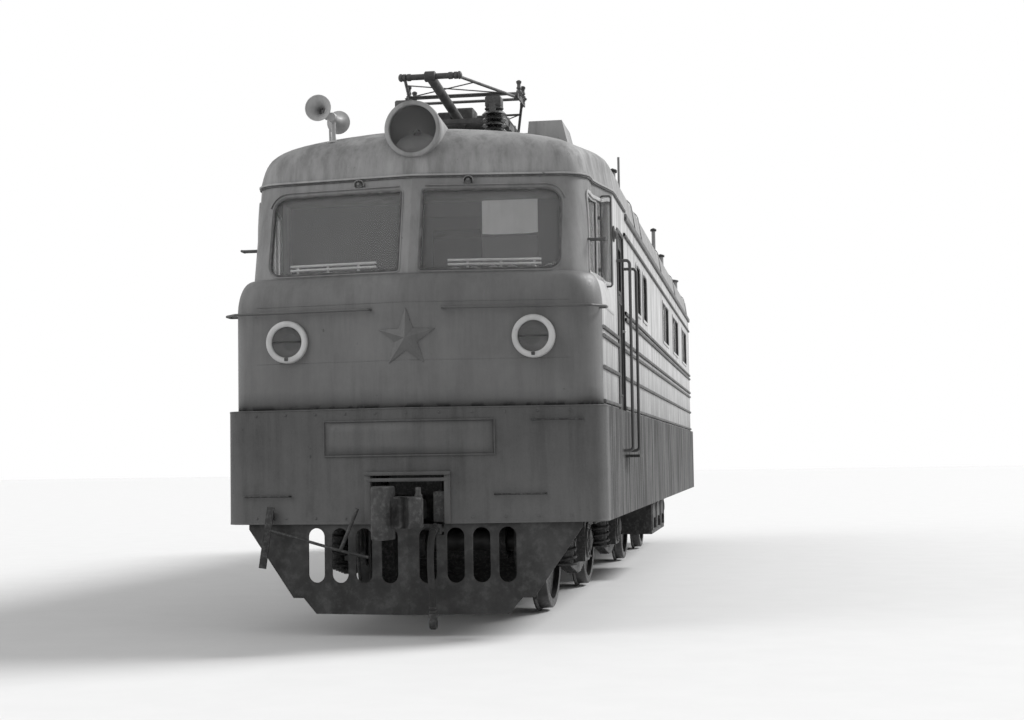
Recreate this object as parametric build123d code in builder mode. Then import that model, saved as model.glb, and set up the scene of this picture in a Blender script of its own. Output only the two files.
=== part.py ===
"""Single-cab main-line electric locomotive section on two two-axle bogies.

Millimetres. X is across, with +X on the right of someone who faces the cab front,
Y runs back from the cab front, and Z is up from the lowest point of the wheel flanges.
The origin is in the middle of the length and width, level with the flange tips.
"""
import os
from math import atan2, cos, degrees, radians, sin, tan

from build123d import *

os.makedirs("parts", exist_ok=True)

# Wheels and rail level
wheel_radius = 625
flange_height = 28
flange_width = 33
wheel_width = 140
wheel_back_to_back = 1440
axle_radius = 100
journal_radius = 90
journal_end = 1150

# Body
body_length = 15200
skirt_half_width = 1580
skirt_skin = 40
wall_skin = 60
front_rake = 0.1486
corner_radius = 180
cab_corner_radius = 280
nose_set_back = 30
shoulder_depth = 105
skirt_bottom_height = 870
skirt_tall = 930
nose_tall = 820
shoulder_rise = 280
sill_rise = 30
windscreen_tall = 670
header_tall = 130
roof_step = 50
roof_side_rise = 240
roof_shoulder_rise = 130
roof_crown_rise = 220
roof_gear_drop = 100
band_taper_start = 1000
band_taper_end = 1600
nose_depth = 520
cab_roof_depth = 2800
floor_height = skirt_bottom_height + skirt_tall
shoulder_height = floor_height + nose_tall
belt_height = shoulder_height + shoulder_rise
windscreen_bottom_height = belt_height + sill_rise
windscreen_top_height = windscreen_bottom_height + windscreen_tall
gutter_height = windscreen_top_height + header_tall
wall_top_height = gutter_height - roof_step
crown_height = gutter_height + roof_side_rise + roof_shoulder_rise + roof_crown_rise
roof_gear_height = crown_height - roof_gear_drop

# Bogies
bogie_spacing = 7500
wheelbase = 3000
bogie_half_length = 2300
side_beam_x = 1050
side_beam_width = 200
side_beam_bottom_height = 850
side_beam_top_height = 1100
pivot_radius = 150
pivot_clearance = 4
bearer_gap = 6

# Coupler
coupler_height = 980
coupler_reach = 610
coupler_pivot_depth = 420
coupler_pin_radius = 45

# Pantograph
panto_depth = 2900
panto_arm = 1560
panto_shaft_y = 200
panto_rest_angle = 4.8
panto_elbow_half = 210
panto_head_half = 550

front_y = -body_length / 2
rear_y = body_length / 2
wall_half_width = skirt_half_width - skirt_skin
band_half_width = wall_half_width - shoulder_depth - 15
band_set_back = nose_set_back + shoulder_depth
band_lean = 225
gutter_set_back = band_set_back + band_lean


def back(distance):
    """Y of a place at this distance behind the front of the apron."""
    return front_y + distance


def above(height):
    """Z of a place at this height above the rail head."""
    return flange_height + height


axle_z = above(wheel_radius)
axle_ys = [side * bogie_spacing / 2 + end * wheelbase / 2 for side in (-1, 1) for end in (-1, 1)]
bogie_ys = {"front": -bogie_spacing / 2, "rear": bogie_spacing / 2}
sides = {"left": -1, "right": 1}


def keep(part, name):
    """Label a finished piece and write its file."""
    part.label = name
    export_step(part, f"parts/{name}.step")


def front_plan(half_width, set_back, radius, rear, full_half_width=None):
    """Plan of the raked front: two front lines, round corners, sides, and an optional taper."""
    nose = back(set_back)
    corner = nose + half_width * front_rake
    right = [(half_width, corner)]
    if full_half_width:
        right += [(half_width, back(band_taper_start)), (full_half_width, back(band_taper_end))]
    if rear > right[-1][1] + 1:
        right.append((full_half_width or half_width, rear))
    left = [(-x, y) for x, y in reversed(right)]
    with BuildSketch() as plan:
        with BuildLine():
            Polyline(*left, (0, nose), *right, close=True)
        make_face()
        corners = [v for v in plan.vertices() if abs(abs(v.X) - half_width) < 1 and abs(v.Y - corner) < 1]
        fillet(corners, radius)
    return plan.sketch


# Roof section: the sides lean in by roof_side_inset, a shoulder arc takes another
# roof_shoulder_inset, and the crown arc closes it
roof_side_inset = 40
roof_shoulder_inset = 190
crown_half_width = wall_half_width - roof_side_inset - roof_shoulder_inset
crown_radius = (crown_half_width ** 2 + roof_crown_rise ** 2) / (2 * roof_crown_rise)


def roof_section(skin):
    """Arched roof section in the XZ plane, this far inside the outer surface."""
    crown_z = above(crown_height) - skin
    shoulder_z = crown_z - roof_crown_rise
    side_z = shoulder_z - roof_shoulder_rise
    side_x = wall_half_width - roof_side_inset - skin
    shoulder_x = side_x - roof_shoulder_inset
    middle = (side_x - 0.38 * roof_shoulder_inset, side_z + 0.65 * roof_shoulder_rise)
    base_x = wall_half_width - skin
    base = above(wall_top_height)
    with BuildSketch() as section:
        with BuildLine():
            Line((-side_x, side_z), (-base_x, base))
            Line((-base_x, base), (base_x, base))
            Line((base_x, base), (side_x, side_z))
            ThreePointArc((side_x, side_z), middle, (shoulder_x, shoulder_z))
            ThreePointArc((shoulder_x, shoulder_z), (0, crown_z), (-shoulder_x, shoulder_z))
            ThreePointArc((-shoulder_x, shoulder_z), (-middle[0], middle[1]), (-side_x, side_z))
        make_face()
    return section.sketch


def roof_height(x):
    """Height of the roof's crown arc above the rail at this x."""
    return crown_height - x ** 2 / (2 * crown_radius)


def cross(y):
    """Plane across the body at this Y, with local x to +X and local y up."""
    return Plane(origin=(0, y, 0), x_dir=(1, 0, 0), z_dir=(0, -1, 0))


def lengthways(x):
    """Plane along the body at this X, with local x to +Y and local y up."""
    return Plane(origin=(x, 0, 0), x_dir=(0, 1, 0), z_dir=(1, 0, 0))


# Underframe: floor, side sills, end beams, bolsters with their pivots, and the coupler pockets
floor_thickness = 160
sill_width = 160
sill_bottom_height = 1180
bolster_bottom_height = 1300
bolster_half_length = 250
pivot_bottom_height = 820
end_beam_depth = 200
pocket_half_width = 300
pocket_top_height = 1260
draft_box_half_width = 220
draft_plate_gap = 120
draft_plate = 50
draft_box_length = 560
transformer_half_width = 650
transformer_half_length = 1000
transformer_gap = 10
jack_pad_length = 300
jack_pad_thickness = 30
battery_half_length = 1100
jack_pad_y = battery_half_length + jack_pad_length / 2 + 20
end_beam_front = 260
end_beam_half_width = 1440
sill_front = 400

with BuildPart() as underframe:
    with BuildSketch(Plane.XY.offset(above(floor_height - floor_thickness))):
        add(front_plan(wall_half_width, skirt_skin, corner_radius - skirt_skin, rear_y - wall_skin))
        Rectangle(2 * (transformer_half_width + transformer_gap),
                  2 * (transformer_half_length + transformer_gap), mode=Mode.SUBTRACT)
    extrude(amount=floor_thickness)
    for side in (-1, 1):
        sill_x = side * (wall_half_width - sill_width / 2)
        sill_height = floor_height - floor_thickness - sill_bottom_height
        with Locations((sill_x, 0, above(sill_bottom_height) + sill_height / 2)):
            Box(sill_width, body_length - 2 * sill_front, sill_height)
        with Locations(*[(sill_x, end * jack_pad_y, above(sill_bottom_height) - jack_pad_thickness / 2)
                         for end in (-1, 1)]):
            Box(sill_width, jack_pad_length, jack_pad_thickness)
    for end in (-1, 1):
        beam_y = end * (body_length / 2 - end_beam_front - end_beam_depth / 2)
        beam_height = floor_height - floor_thickness - skirt_bottom_height
        with Locations((0, beam_y, above(skirt_bottom_height) + beam_height / 2)):
            Box(2 * end_beam_half_width, end_beam_depth, beam_height)
        pocket_height = pocket_top_height - skirt_bottom_height
        with Locations((0, beam_y, above(skirt_bottom_height) + pocket_height / 2)):
            Box(2 * pocket_half_width, end_beam_depth, pocket_height, mode=Mode.SUBTRACT)
        box_y = end * (body_length / 2 - coupler_pivot_depth + 80 - draft_box_length / 2)
        for level in (-1, 1):
            with Locations((0, box_y, above(coupler_height) + level * (draft_plate_gap + draft_plate / 2))):
                Box(2 * draft_box_half_width, draft_box_length, draft_plate)
        with Locations((0, box_y - end * draft_box_length / 4, above(coupler_height))):
            Box(2 * draft_box_half_width, draft_box_length / 2, 2 * draft_plate_gap)
        hanger_bottom = coupler_height + draft_plate_gap + draft_plate
        hanger_height = floor_height - floor_thickness - hanger_bottom
        with Locations((0, box_y, above(hanger_bottom) + hanger_height / 2)):
            Box(2 * draft_box_half_width, draft_box_length, hanger_height)
        pin_y = end * (body_length / 2 - coupler_pivot_depth)
        with Locations((0, pin_y, above(coupler_height))):
            Cylinder(coupler_pin_radius, 2 * draft_plate_gap)
    for y in bogie_ys.values():
        bolster_height = floor_height - floor_thickness - bolster_bottom_height
        with Locations((0, y, above(bolster_bottom_height) + bolster_height / 2)):
            Box(2 * (wall_half_width - sill_width), 2 * bolster_half_length, bolster_height)
        pivot_height = bolster_bottom_height - pivot_bottom_height
        with Locations((0, y, above(pivot_bottom_height) + pivot_height / 2)):
            Cylinder(pivot_radius, pivot_height)
keep(underframe.part, "underframe")

# Apron: the dark lower front panel, wrapped round both corners
with BuildPart() as front_apron:
    with BuildSketch(Plane.XY.offset(above(skirt_bottom_height))):
        add(front_plan(skirt_half_width, 0, corner_radius, back(nose_depth)))
        add(front_plan(wall_half_width, skirt_skin, corner_radius - skirt_skin, back(nose_depth)),
            mode=Mode.SUBTRACT)
    extrude(amount=floor_height - skirt_bottom_height)
    with Locations((0, back(0), above(skirt_bottom_height))):
        Box(2 * pocket_half_width, 2 * end_beam_front, 2 * (pocket_top_height - skirt_bottom_height),
            mode=Mode.SUBTRACT)
keep(front_apron.part, "front_apron")

# Side skirts below the floor line
with BuildPart() as skirts:
    with BuildSketch(Plane.XY.offset(above(skirt_bottom_height))):
        with Locations(*[(side * (skirt_half_width - skirt_skin / 2), (back(nose_depth) + rear_y) / 2)
                         for side in (-1, 1)]):
            Rectangle(skirt_skin, rear_y - back(nose_depth))
    extrude(amount=floor_height - skirt_bottom_height)
keep(skirts.part, "skirts")

# Cab nose: mid panel between floor and windscreens, with its rounded shoulder
# Shoulder sections: share of the shoulder rise, share of the shoulder depth
shoulder_steps = [(0.0, 0.0), (0.43, 0.14), (0.75, 0.42), (1.0, 1.0)]

with BuildPart() as cab_nose:
    with BuildSketch(Plane.XY.offset(above(floor_height))):
        add(front_plan(wall_half_width, nose_set_back, cab_corner_radius, back(nose_depth)))
        add(front_plan(wall_half_width - wall_skin, nose_set_back + wall_skin,
                       cab_corner_radius - wall_skin, back(nose_depth)), mode=Mode.SUBTRACT)
    extrude(amount=shoulder_height - floor_height)
    for rise_share, share in shoulder_steps:
        inset = share * shoulder_depth + 0.5
        with BuildSketch(Plane.XY.offset(above(shoulder_height + rise_share * shoulder_rise))):
            add(front_plan(wall_half_width - inset, nose_set_back + inset, cab_corner_radius,
                           back(band_taper_end), wall_half_width))
    loft(ruled=True)
    with BuildSketch(Plane.XY.offset(above(shoulder_height))):
        add(front_plan(band_half_width - wall_skin, band_set_back + wall_skin,
                       cab_corner_radius - wall_skin, back(band_taper_end), wall_half_width - wall_skin))
    extrude(amount=belt_height - shoulder_height, mode=Mode.SUBTRACT)
keep(cab_nose.part, "cab_nose")

# Windscreen band: leans back from the belt to the gutter, with windscreen and side window openings
windscreen_inner = 95
windscreen_outer = 1215
windscreen_post_radius = 15
windscreen_bottom_radius = 90
windscreen_top_radius = 120
cab_window_front = 700
cab_window_rear = 1500
cab_window_tall = 660
windscreen_tool_depth = 720
glass_depth = 22
glass_thickness = 8


def band_solid(inset):
    """The leaning windscreen band as a solid, drawn in all round by an inset."""
    with BuildPart() as solid:
        for height, set_back in ((belt_height, band_set_back), (gutter_height, gutter_set_back)):
            with BuildSketch(Plane.XY.offset(above(height))):
                add(front_plan(band_half_width - inset, set_back + inset, cab_corner_radius - inset,
                               back(band_taper_end), wall_half_width - inset))
        loft(ruled=True)
    return solid.part


def windscreen_outline(side):
    """One windscreen's outline: nearly square by the centre post, rounder at the outer corners."""
    low = above(windscreen_bottom_height)
    high = low + windscreen_tall
    with BuildSketch() as outline:
        with Locations((side * (windscreen_inner + windscreen_outer) / 2, (low + high) / 2)):
            Rectangle(windscreen_outer - windscreen_inner, windscreen_tall)
        corners = [((windscreen_inner, low), windscreen_post_radius),
                   ((windscreen_inner, high), windscreen_post_radius),
                   ((windscreen_outer, low), windscreen_bottom_radius),
                   ((windscreen_outer, high), windscreen_top_radius)]
        for (x, z), radius in corners:
            nearest = outline.vertices().sort_by_distance((side * x, z, 0))[0]
            fillet(nearest, radius)
    return outline.sketch


def windscreen_prisms():
    """Two windscreen openings and two cab side window openings as one tool body."""
    with BuildPart() as prisms:
        with BuildSketch(cross(back(windscreen_tool_depth))):
            for side in (-1, 1):
                add(windscreen_outline(side))
        extrude(amount=windscreen_tool_depth)
        window_length = cab_window_rear - cab_window_front
        with Locations(*[(side * band_half_width, back((cab_window_front + cab_window_rear) / 2),
                          above(windscreen_bottom_height) + cab_window_tall / 2) for side in (-1, 1)]):
            Box(5 * wall_skin, window_length, cab_window_tall)
    return prisms.part


with BuildPart() as cab_window_band:
    add(band_solid(0))
    add(band_solid(wall_skin), mode=Mode.SUBTRACT)
    add(windscreen_prisms(), mode=Mode.SUBTRACT)
keep(cab_window_band.part, "cab_window_band")

# Cab roof: level plans stacked up the rounded cap, over a drip rail round the gutter
# Level: share of the rise from gutter to crown, inset of the front
cab_roof_levels = [(0, 0), (0.28, 20), (0.45, 70), (0.60, 155), (0.72, 280), (0.84, 500), (0.93, 910),
                   (0.985, 1150)]
cab_roof_full_depth = 1600
cab_roof_corner_reach = 240
cab_roof_least_half = 50
cab_roof_narrowing = 1.6
drip_rail_proud = 22
drip_rail_tall = 28
cab_roof_rise = crown_height - gutter_height


def roof_side_inset_at(rise):
    """How far the roof's side stands in from the wall at this rise above the gutter."""
    if rise <= roof_side_rise:
        return roof_side_inset * rise / roof_side_rise
    if rise <= roof_side_rise + roof_shoulder_rise:
        share = (rise - roof_side_rise) / roof_shoulder_rise
        return roof_side_inset + roof_shoulder_inset * (1 - cos(radians(90 * share)))
    return wall_half_width - (2 * crown_radius * (cab_roof_rise - rise)) ** 0.5


def rounded_corner(before, corner, after, reach):
    """Three points that round this corner off, reaching this far along both of its lines."""
    start = corner + (before - corner).normalized() * reach
    finish = corner + (after - corner).normalized() * reach
    return [start, (start + finish) * 0.25 + corner * 0.5, finish]


def cab_roof_plan(rise, front_inset):
    """Right half of the cab roof's plan at this rise, from the middle of the front to the rear."""
    side_inset = roof_side_inset_at(rise)
    full = wall_half_width - side_inset
    near = band_half_width - side_inset / 2 - cab_roof_narrowing * front_inset
    near = max(cab_roof_least_half, min(full, near))
    middle = Vector(0, back(gutter_set_back + front_inset))
    corner = middle + Vector(near, near * front_rake)
    shoulder = Vector(full, back(cab_roof_full_depth))
    reach = min(cab_roof_corner_reach, near / 2)
    bend_y = max(back(band_taper_start), corner.Y + 1.2 * reach)
    bend_x = corner.X + (shoulder.X - corner.X) * (bend_y - corner.Y) / (shoulder.Y - corner.Y)
    bend = Vector(min(bend_x, band_half_width - side_inset), bend_y)
    return [middle, *rounded_corner(middle, corner, bend, reach), bend, shoulder,
            Vector(full, back(cab_roof_depth))]


with BuildPart() as cab_roof:
    for share, front_inset in cab_roof_levels:
        rise = share * cab_roof_rise
        right = cab_roof_plan(rise, front_inset)
        left = [Vector(-point.X, point.Y) for point in right[:0:-1]]
        with BuildSketch(Plane.XY.offset(above(gutter_height + rise))):
            with BuildLine():
                Polyline(*left, *right, close=True)
            make_face()
    loft(ruled=True)
    with BuildSketch(Plane.XY.offset(above(gutter_height))):
        add(front_plan(band_half_width + drip_rail_proud, gutter_set_back - drip_rail_proud,
                       cab_corner_radius, back(cab_roof_depth), wall_half_width + drip_rail_proud))
    extrude(amount=drip_rail_tall)
keep(cab_roof.part, "cab_roof")

# Side walls with ribs, machine-room windows and the cab doorway
doorway_front = 1950
doorway_rear = 2520
door_header = 250
door_window_header = 130
door_window_tall = 400
door_window_width = 340
doorway_top_height = wall_top_height - door_header
door_window_top_height = doorway_top_height - door_window_header
door_window_bottom_height = door_window_top_height - door_window_tall
rib_height = 28
rib_proud = 18
# Window: front edge, rear edge, distances behind the apron
side_windows = [(4060, 4630), (4950, 5550), (8320, 9500), (10510, 11830), (12950, 14190)]
side_window_tall = 500
side_window_bottom_height = belt_height - 30
# Height of each rib's middle above the floor: along the whole wall, and behind the doorway only
full_ribs = [650, 580, 320, 40]
rear_ribs = [940, 880, 1690]
rib_front = 2650
wall_end = body_length - wall_skin


def side_window_prisms(side, depth=5 * wall_skin):
    """Openings of one side's machine-room windows, as a tool body."""
    with BuildPart() as prisms:
        for start, end in side_windows:
            with Locations((side * wall_half_width, back((start + end) / 2),
                            above(side_window_bottom_height) + side_window_tall / 2)):
                Box(depth, end - start, side_window_tall)
    return prisms.part


for name, side in sides.items():
    wall_x = side * (wall_half_width - wall_skin / 2)
    with BuildPart() as wall:
        with BuildSketch(lengthways(wall_x)):
            with BuildLine():
                Polyline((back(nose_depth), above(floor_height)), (back(nose_depth), above(shoulder_height)),
                         (back(band_taper_end), above(shoulder_height)),
                         (back(band_taper_end), above(gutter_height)),
                         (back(cab_roof_depth), above(gutter_height)),
                         (back(cab_roof_depth), above(wall_top_height)),
                         (back(wall_end), above(wall_top_height)), (back(wall_end), above(floor_height)),
                         close=True)
            make_face()
        extrude(amount=wall_skin / 2, both=True)
        rib_x = side * (wall_half_width + rib_proud / 2)
        ribs = [(height, nose_depth, doorway_front) for height in full_ribs]
        ribs += [(height, doorway_rear, wall_end) for height in full_ribs]
        ribs += [(height, rib_front, wall_end) for height in rear_ribs]
        for height, start, end in ribs:
            with Locations((rib_x, back((start + end) / 2), above(floor_height + height))):
                Box(rib_proud, end - start, rib_height)
        door_height = doorway_top_height - floor_height
        door_middle_y = back((doorway_front + doorway_rear) / 2)
        with Locations((wall_x, door_middle_y, above(floor_height) + door_height / 2)):
            Box(wall_skin, doorway_rear - doorway_front, door_height, mode=Mode.SUBTRACT)
        add(side_window_prisms(side), mode=Mode.SUBTRACT)
    keep(wall.part, f"wall_{name}")

with BuildPart() as glazing:
    add(band_solid(glass_depth))
    add(band_solid(glass_depth + glass_thickness), mode=Mode.SUBTRACT)
    add(windscreen_prisms(), mode=Mode.INTERSECT)
    for side in (-1, 1):
        for start, end in side_windows:
            with Locations((side * (wall_half_width - wall_skin / 2), back((start + end) / 2),
                            above(side_window_bottom_height) + side_window_tall / 2)):
                Box(glass_thickness, end - start, side_window_tall)
keep(glazing.part, "glazing")

# Main roof: an arched shell over the machine room, with a gutter strip along each side
roof_skin = 50
gutter_lap = 4
with BuildPart() as main_roof:
    with BuildSketch(cross(rear_y)):
        add(roof_section(0))
        add(roof_section(roof_skin), mode=Mode.SUBTRACT)
        gutter_x = wall_half_width + drip_rail_proud / 2 - gutter_lap / 2
        gutter_z = above(wall_top_height) + drip_rail_tall / 2
        with Locations(*[(side * gutter_x, gutter_z) for side in (-1, 1)]):
            Rectangle(drip_rail_proud + gutter_lap, drip_rail_tall)
    extrude(amount=body_length - cab_roof_depth)
keep(main_roof.part, "main_roof")

# The same arch filled in, to trim what stands on the roof
with BuildPart() as roof_trimmer:
    with BuildSketch(cross(rear_y)):
        add(roof_section(0))
    extrude(amount=body_length - cab_roof_depth)

# Rear end wall with its gangway doorway
gangway_half_width = 340
gangway_header = 80
gangway_top_height = gutter_height - gangway_header
with BuildPart() as end_wall:
    with BuildSketch(cross(rear_y)):
        with Locations((0, above((floor_height + wall_top_height) / 2))):
            Rectangle(2 * wall_half_width, wall_top_height - floor_height)
        add(roof_section(roof_skin))
        with Locations((0, above((floor_height + gangway_top_height) / 2))):
            Rectangle(2 * gangway_half_width, gangway_top_height - floor_height, mode=Mode.SUBTRACT)
    extrude(amount=wall_skin)
keep(end_wall.part, "end_wall")

# Rear apron under the end wall
with BuildPart() as rear_apron:
    pocket_height = pocket_top_height - skirt_bottom_height
    with BuildSketch(cross(rear_y)):
        with Locations((0, above((skirt_bottom_height + floor_height) / 2))):
            Rectangle(2 * wall_half_width, floor_height - skirt_bottom_height)
        with Locations((0, above(skirt_bottom_height))):
            Rectangle(2 * pocket_half_width, 2 * pocket_height, mode=Mode.SUBTRACT)
    extrude(amount=wall_skin)
keep(rear_apron.part, "rear_apron")

# Doors: two inward-opening cab doors and the gangway door
door_gap = 6
door_thickness = 40
door_depth = 15
for name, side in sides.items():
    door_x = side * (wall_half_width - door_depth - door_thickness / 2)
    low_z = above(floor_height) + door_gap
    high_z = above(doorway_top_height) - door_gap
    with BuildPart() as cab_door:
        with Locations((door_x, back((doorway_front + doorway_rear) / 2), (low_z + high_z) / 2)):
            Box(door_thickness, doorway_rear - doorway_front - 2 * door_gap, high_z - low_z)
        with Locations((door_x, back((doorway_front + doorway_rear) / 2),
                        above(door_window_bottom_height) + door_window_tall / 2)):
            Box(door_thickness, door_window_width, door_window_tall, mode=Mode.SUBTRACT)
    keep(cab_door.part, f"cab_door_{name}")

with BuildPart() as gangway_door:
    low_z = above(floor_height) + door_gap
    high_z = above(gangway_top_height) - door_gap
    with Locations((0, rear_y - door_depth - door_thickness / 2, (low_z + high_z) / 2)):
        Box(2 * (gangway_half_width - door_gap), door_thickness, high_z - low_z)
keep(gangway_door.part, "gangway_door")

# Corrugated gangway frame on the rear end wall
bellows_depth = 320
bellows_width = 110
bellows_folds = 4
bellows_bottom_height = floor_height - bellows_width
bellows_top_height = gangway_top_height + bellows_width + 60
with BuildPart() as gangway_bellows:
    fold = bellows_depth / bellows_folds
    middle_z = above((bellows_bottom_height + bellows_top_height) / 2)
    tall = bellows_top_height - bellows_bottom_height
    for turn in range(bellows_folds):
        for start, length, extra in ((0, fold / 2, 0), (fold / 2, fold / 2, 30)):
            with BuildSketch(cross(rear_y + turn * fold + start + length)):
                with Locations((0, middle_z)):
                    Rectangle(2 * (gangway_half_width + bellows_width + extra), tall + 2 * extra)
                    Rectangle(2 * (gangway_half_width + 20), tall - 2 * bellows_width, mode=Mode.SUBTRACT)
            extrude(amount=length)
keep(gangway_bellows.part, "gangway_bellows")

# Bulkheads behind the cab and behind the doors, each with an open doorway
bulkhead_depths = [1840, 2700]
bulkhead_thickness = 40
bulkhead_door_half = 310
bulkhead_door_top_height = gutter_height - header_tall
with BuildPart() as bulkheads:
    for depth in bulkhead_depths:
        with BuildSketch(cross(back(depth + bulkhead_thickness))):
            with Locations((0, above((floor_height + gutter_height) / 2))):
                Rectangle(2 * (wall_half_width - wall_skin), gutter_height - floor_height)
            door_tall = bulkhead_door_top_height - floor_height
            with Locations((0, above(floor_height) + door_tall / 2)):
                Rectangle(2 * bulkhead_door_half, door_tall, mode=Mode.SUBTRACT)
        extrude(amount=bulkhead_thickness)
keep(bulkheads.part, "bulkheads")

# Machine room: the transformer, which hangs through the floor, and the cabinets beside it
transformer_bottom_height = 750
transformer_top_height = 3300
with BuildPart() as transformer:
    tall = transformer_top_height - transformer_bottom_height
    with Locations((0, 0, above(transformer_bottom_height) + tall / 2)):
        Box(2 * transformer_half_width, 2 * transformer_half_length, tall)
keep(transformer.part, "transformer")

cabinet_half_width = 700
cabinet_top_height = 3600
cabinet_transformer_gap = 400
# Distances from the nearer end of the body: ends of the two long cabinets, and of the short one
long_cabinet_from_end = 3300
short_cabinet_from_end = (2900, 1300)
cabinet_y = transformer_half_length + cabinet_transformer_gap
# Cabinet: front and rear Y
cabinets = [(back(long_cabinet_from_end), -cabinet_y), (cabinet_y, -back(long_cabinet_from_end)),
            tuple(-back(distance) for distance in short_cabinet_from_end)]
with BuildPart() as machine_cabinets:
    for start, end in cabinets:
        tall = cabinet_top_height - floor_height
        with Locations((0, (start + end) / 2, above(floor_height) + tall / 2)):
            Box(2 * cabinet_half_width, end - start, tall)
keep(machine_cabinets.part, "machine_cabinets")

# Cab furniture
desk_half_width = 1250
desk_front = 560
desk_rear = 950
desk_top_height = belt_height - 80
with BuildPart() as driver_desk:
    with BuildSketch(lengthways(-desk_half_width)):
        with BuildLine():
            Polyline((back(desk_front), above(floor_height)), (back(desk_front), above(desk_top_height)),
                     (back(desk_front + 120), above(desk_top_height + 60)),
                     (back(desk_rear), above(desk_top_height - 120)),
                     (back(desk_rear), above(desk_top_height - 200)),
                     (back(desk_rear - 180), above(desk_top_height - 260)),
                     (back(desk_rear - 180), above(floor_height)), close=True)
        make_face()
    extrude(amount=2 * desk_half_width)
keep(driver_desk.part, "driver_desk")

seat_x = 760
seat_depth = 1350
seat_height = 2270
with BuildPart() as cab_seats:
    for side in (-1, 1):
        with Locations((side * seat_x, back(seat_depth), above(floor_height) + 180)):
            Cylinder(60, 360)
        with Locations((side * seat_x, back(seat_depth), above(seat_height) - 45)):
            Box(440, 420, 130)
        with Locations((side * seat_x, back(seat_depth) + 190, above(seat_height) + 300)):
            Box(420, 80, 620)
keep(cab_seats.part, "cab_seats")

# Front lamps, star and blank number plate
headlight_height = roof_gear_height - 90
headlight_front = 365
headlight_outer = 240
headlight_inner = 198
headlight_rear = 1250
headlight_bowl = 150
with BuildPart() as headlight:
    with BuildSketch(cross(back(headlight_rear))):
        with Locations((0, above(headlight_height))):
            Circle(headlight_outer)
    extrude(amount=headlight_rear - headlight_front)
    with BuildSketch(cross(back(headlight_front + headlight_bowl))):
        with Locations((0, above(headlight_height))):
            Circle(headlight_inner)
    extrude(amount=headlight_bowl, mode=Mode.SUBTRACT)
    add(cab_roof.part, mode=Mode.SUBTRACT)
keep(headlight.part, "headlight")

marker_x = 1020
marker_height = 2360
marker_outer = 175
marker_inner = 125
marker_proud = 40
star_height = 2360
star_radius = 245
star_waist = 0.40
plate_half_width = 700
plate_middle_height = 1560
plate_height = 280
plate_thickness = 12


def front_face_y(x, set_back):
    """Y of the raked front face at this X."""
    return back(set_back) + abs(x) * front_rake


with BuildPart() as marker_lamps:
    for side in (-1, 1):
        face_y = front_face_y(marker_x - marker_outer, nose_set_back)
        lamp_back = face_y + 2 * marker_outer * front_rake
        with BuildSketch(cross(lamp_back)):
            with Locations((side * marker_x, above(marker_height))):
                Circle(marker_outer)
        extrude(amount=lamp_back - face_y + marker_proud)
        with BuildSketch(cross(face_y + marker_proud)):
            with Locations((side * marker_x, above(marker_height))):
                Circle(marker_inner)
        extrude(amount=2 * marker_proud, mode=Mode.SUBTRACT)
    add(cab_nose.part, mode=Mode.SUBTRACT)
keep(marker_lamps.part, "marker_lamps")

with BuildPart() as front_star:
    star_back = front_face_y(star_radius, nose_set_back)
    with BuildSketch(cross(star_back)):
        with BuildLine():
            points = []
            for step in range(10):
                reach = star_radius if step % 2 == 0 else star_radius * star_waist
                turn = radians(90 + 36 * step)
                points.append((reach * cos(turn), above(star_height) + reach * sin(turn)))
            Polyline(*points, close=True)
        make_face()
    extrude(amount=star_back - back(nose_set_back) + 20)
    add(cab_nose.part, mode=Mode.SUBTRACT)
keep(front_star.part, "front_star")

with BuildPart() as number_plate:
    plate_back = front_face_y(plate_half_width, 0)
    with BuildSketch(Plane.XY.offset(above(plate_middle_height - plate_height / 2))):
        with BuildLine():
            Polyline((-plate_half_width, plate_back), (-plate_half_width, plate_back - plate_thickness),
                     (0, back(0) - plate_thickness), (plate_half_width, plate_back - plate_thickness),
                     (plate_half_width, plate_back), (0, back(0)), close=True)
        make_face()
    extrude(amount=plate_height)
keep(number_plate.part, "number_plate")

# Handrails, door steps and wind deflectors
rail_radius = 11
door_rail_radius = 14
front_rail_height = 2600
front_rail_proud = 50
front_rail_inner = 300
front_rail_end = 430
front_rail_bend = 25
front_rail_cut = 110
door_rail_bend = 35
door_rail_stand_off = 120
door_rail_low_height = 1440
door_rail_high_height = 3150
with BuildPart() as handrails:
    for side in (-1, 1):
        rail_z = above(front_rail_height)
        inner_x = side * front_rail_inner
        inner_y = front_face_y(front_rail_inner, nose_set_back)
        outer_x = wall_half_width + front_rail_proud
        outer_y = front_face_y(wall_half_width, nose_set_back) - front_rail_proud
        path = [(inner_x, inner_y, rail_z), (inner_x, inner_y - front_rail_proud, rail_z),
                (side * (outer_x - front_rail_cut), outer_y - front_rail_cut * front_rake, rail_z),
                (side * outer_x, outer_y + front_rail_cut, rail_z),
                (side * outer_x, back(front_rail_end), rail_z),
                (side * (wall_half_width - wall_skin / 2), back(front_rail_end), rail_z)]
        with BuildLine():
            route = FilletPolyline(*path, radius=front_rail_bend)
        with BuildSketch(Plane(origin=path[0], z_dir=(0, -1, 0))):
            Circle(rail_radius)
        sweep(path=route)
    add(cab_nose.part, mode=Mode.SUBTRACT)
    for side in (-1, 1):
        for depth in (doorway_front - 60, doorway_rear + 60):
            wall_x = side * wall_half_width
            out_x = side * (wall_half_width + door_rail_stand_off)
            low = above(door_rail_low_height)
            high = above(door_rail_high_height)
            foot_x = side * skirt_half_width
            with BuildLine():
                route = FilletPolyline((foot_x, back(depth), low), (out_x, back(depth), low),
                                       (out_x, back(depth), high), (wall_x, back(depth), high),
                                       radius=door_rail_bend)
            with BuildSketch(Plane(origin=(foot_x, back(depth), low), z_dir=(side, 0, 0))):
                Circle(door_rail_radius)
            sweep(path=route)
keep(handrails.part, "handrails")

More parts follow.
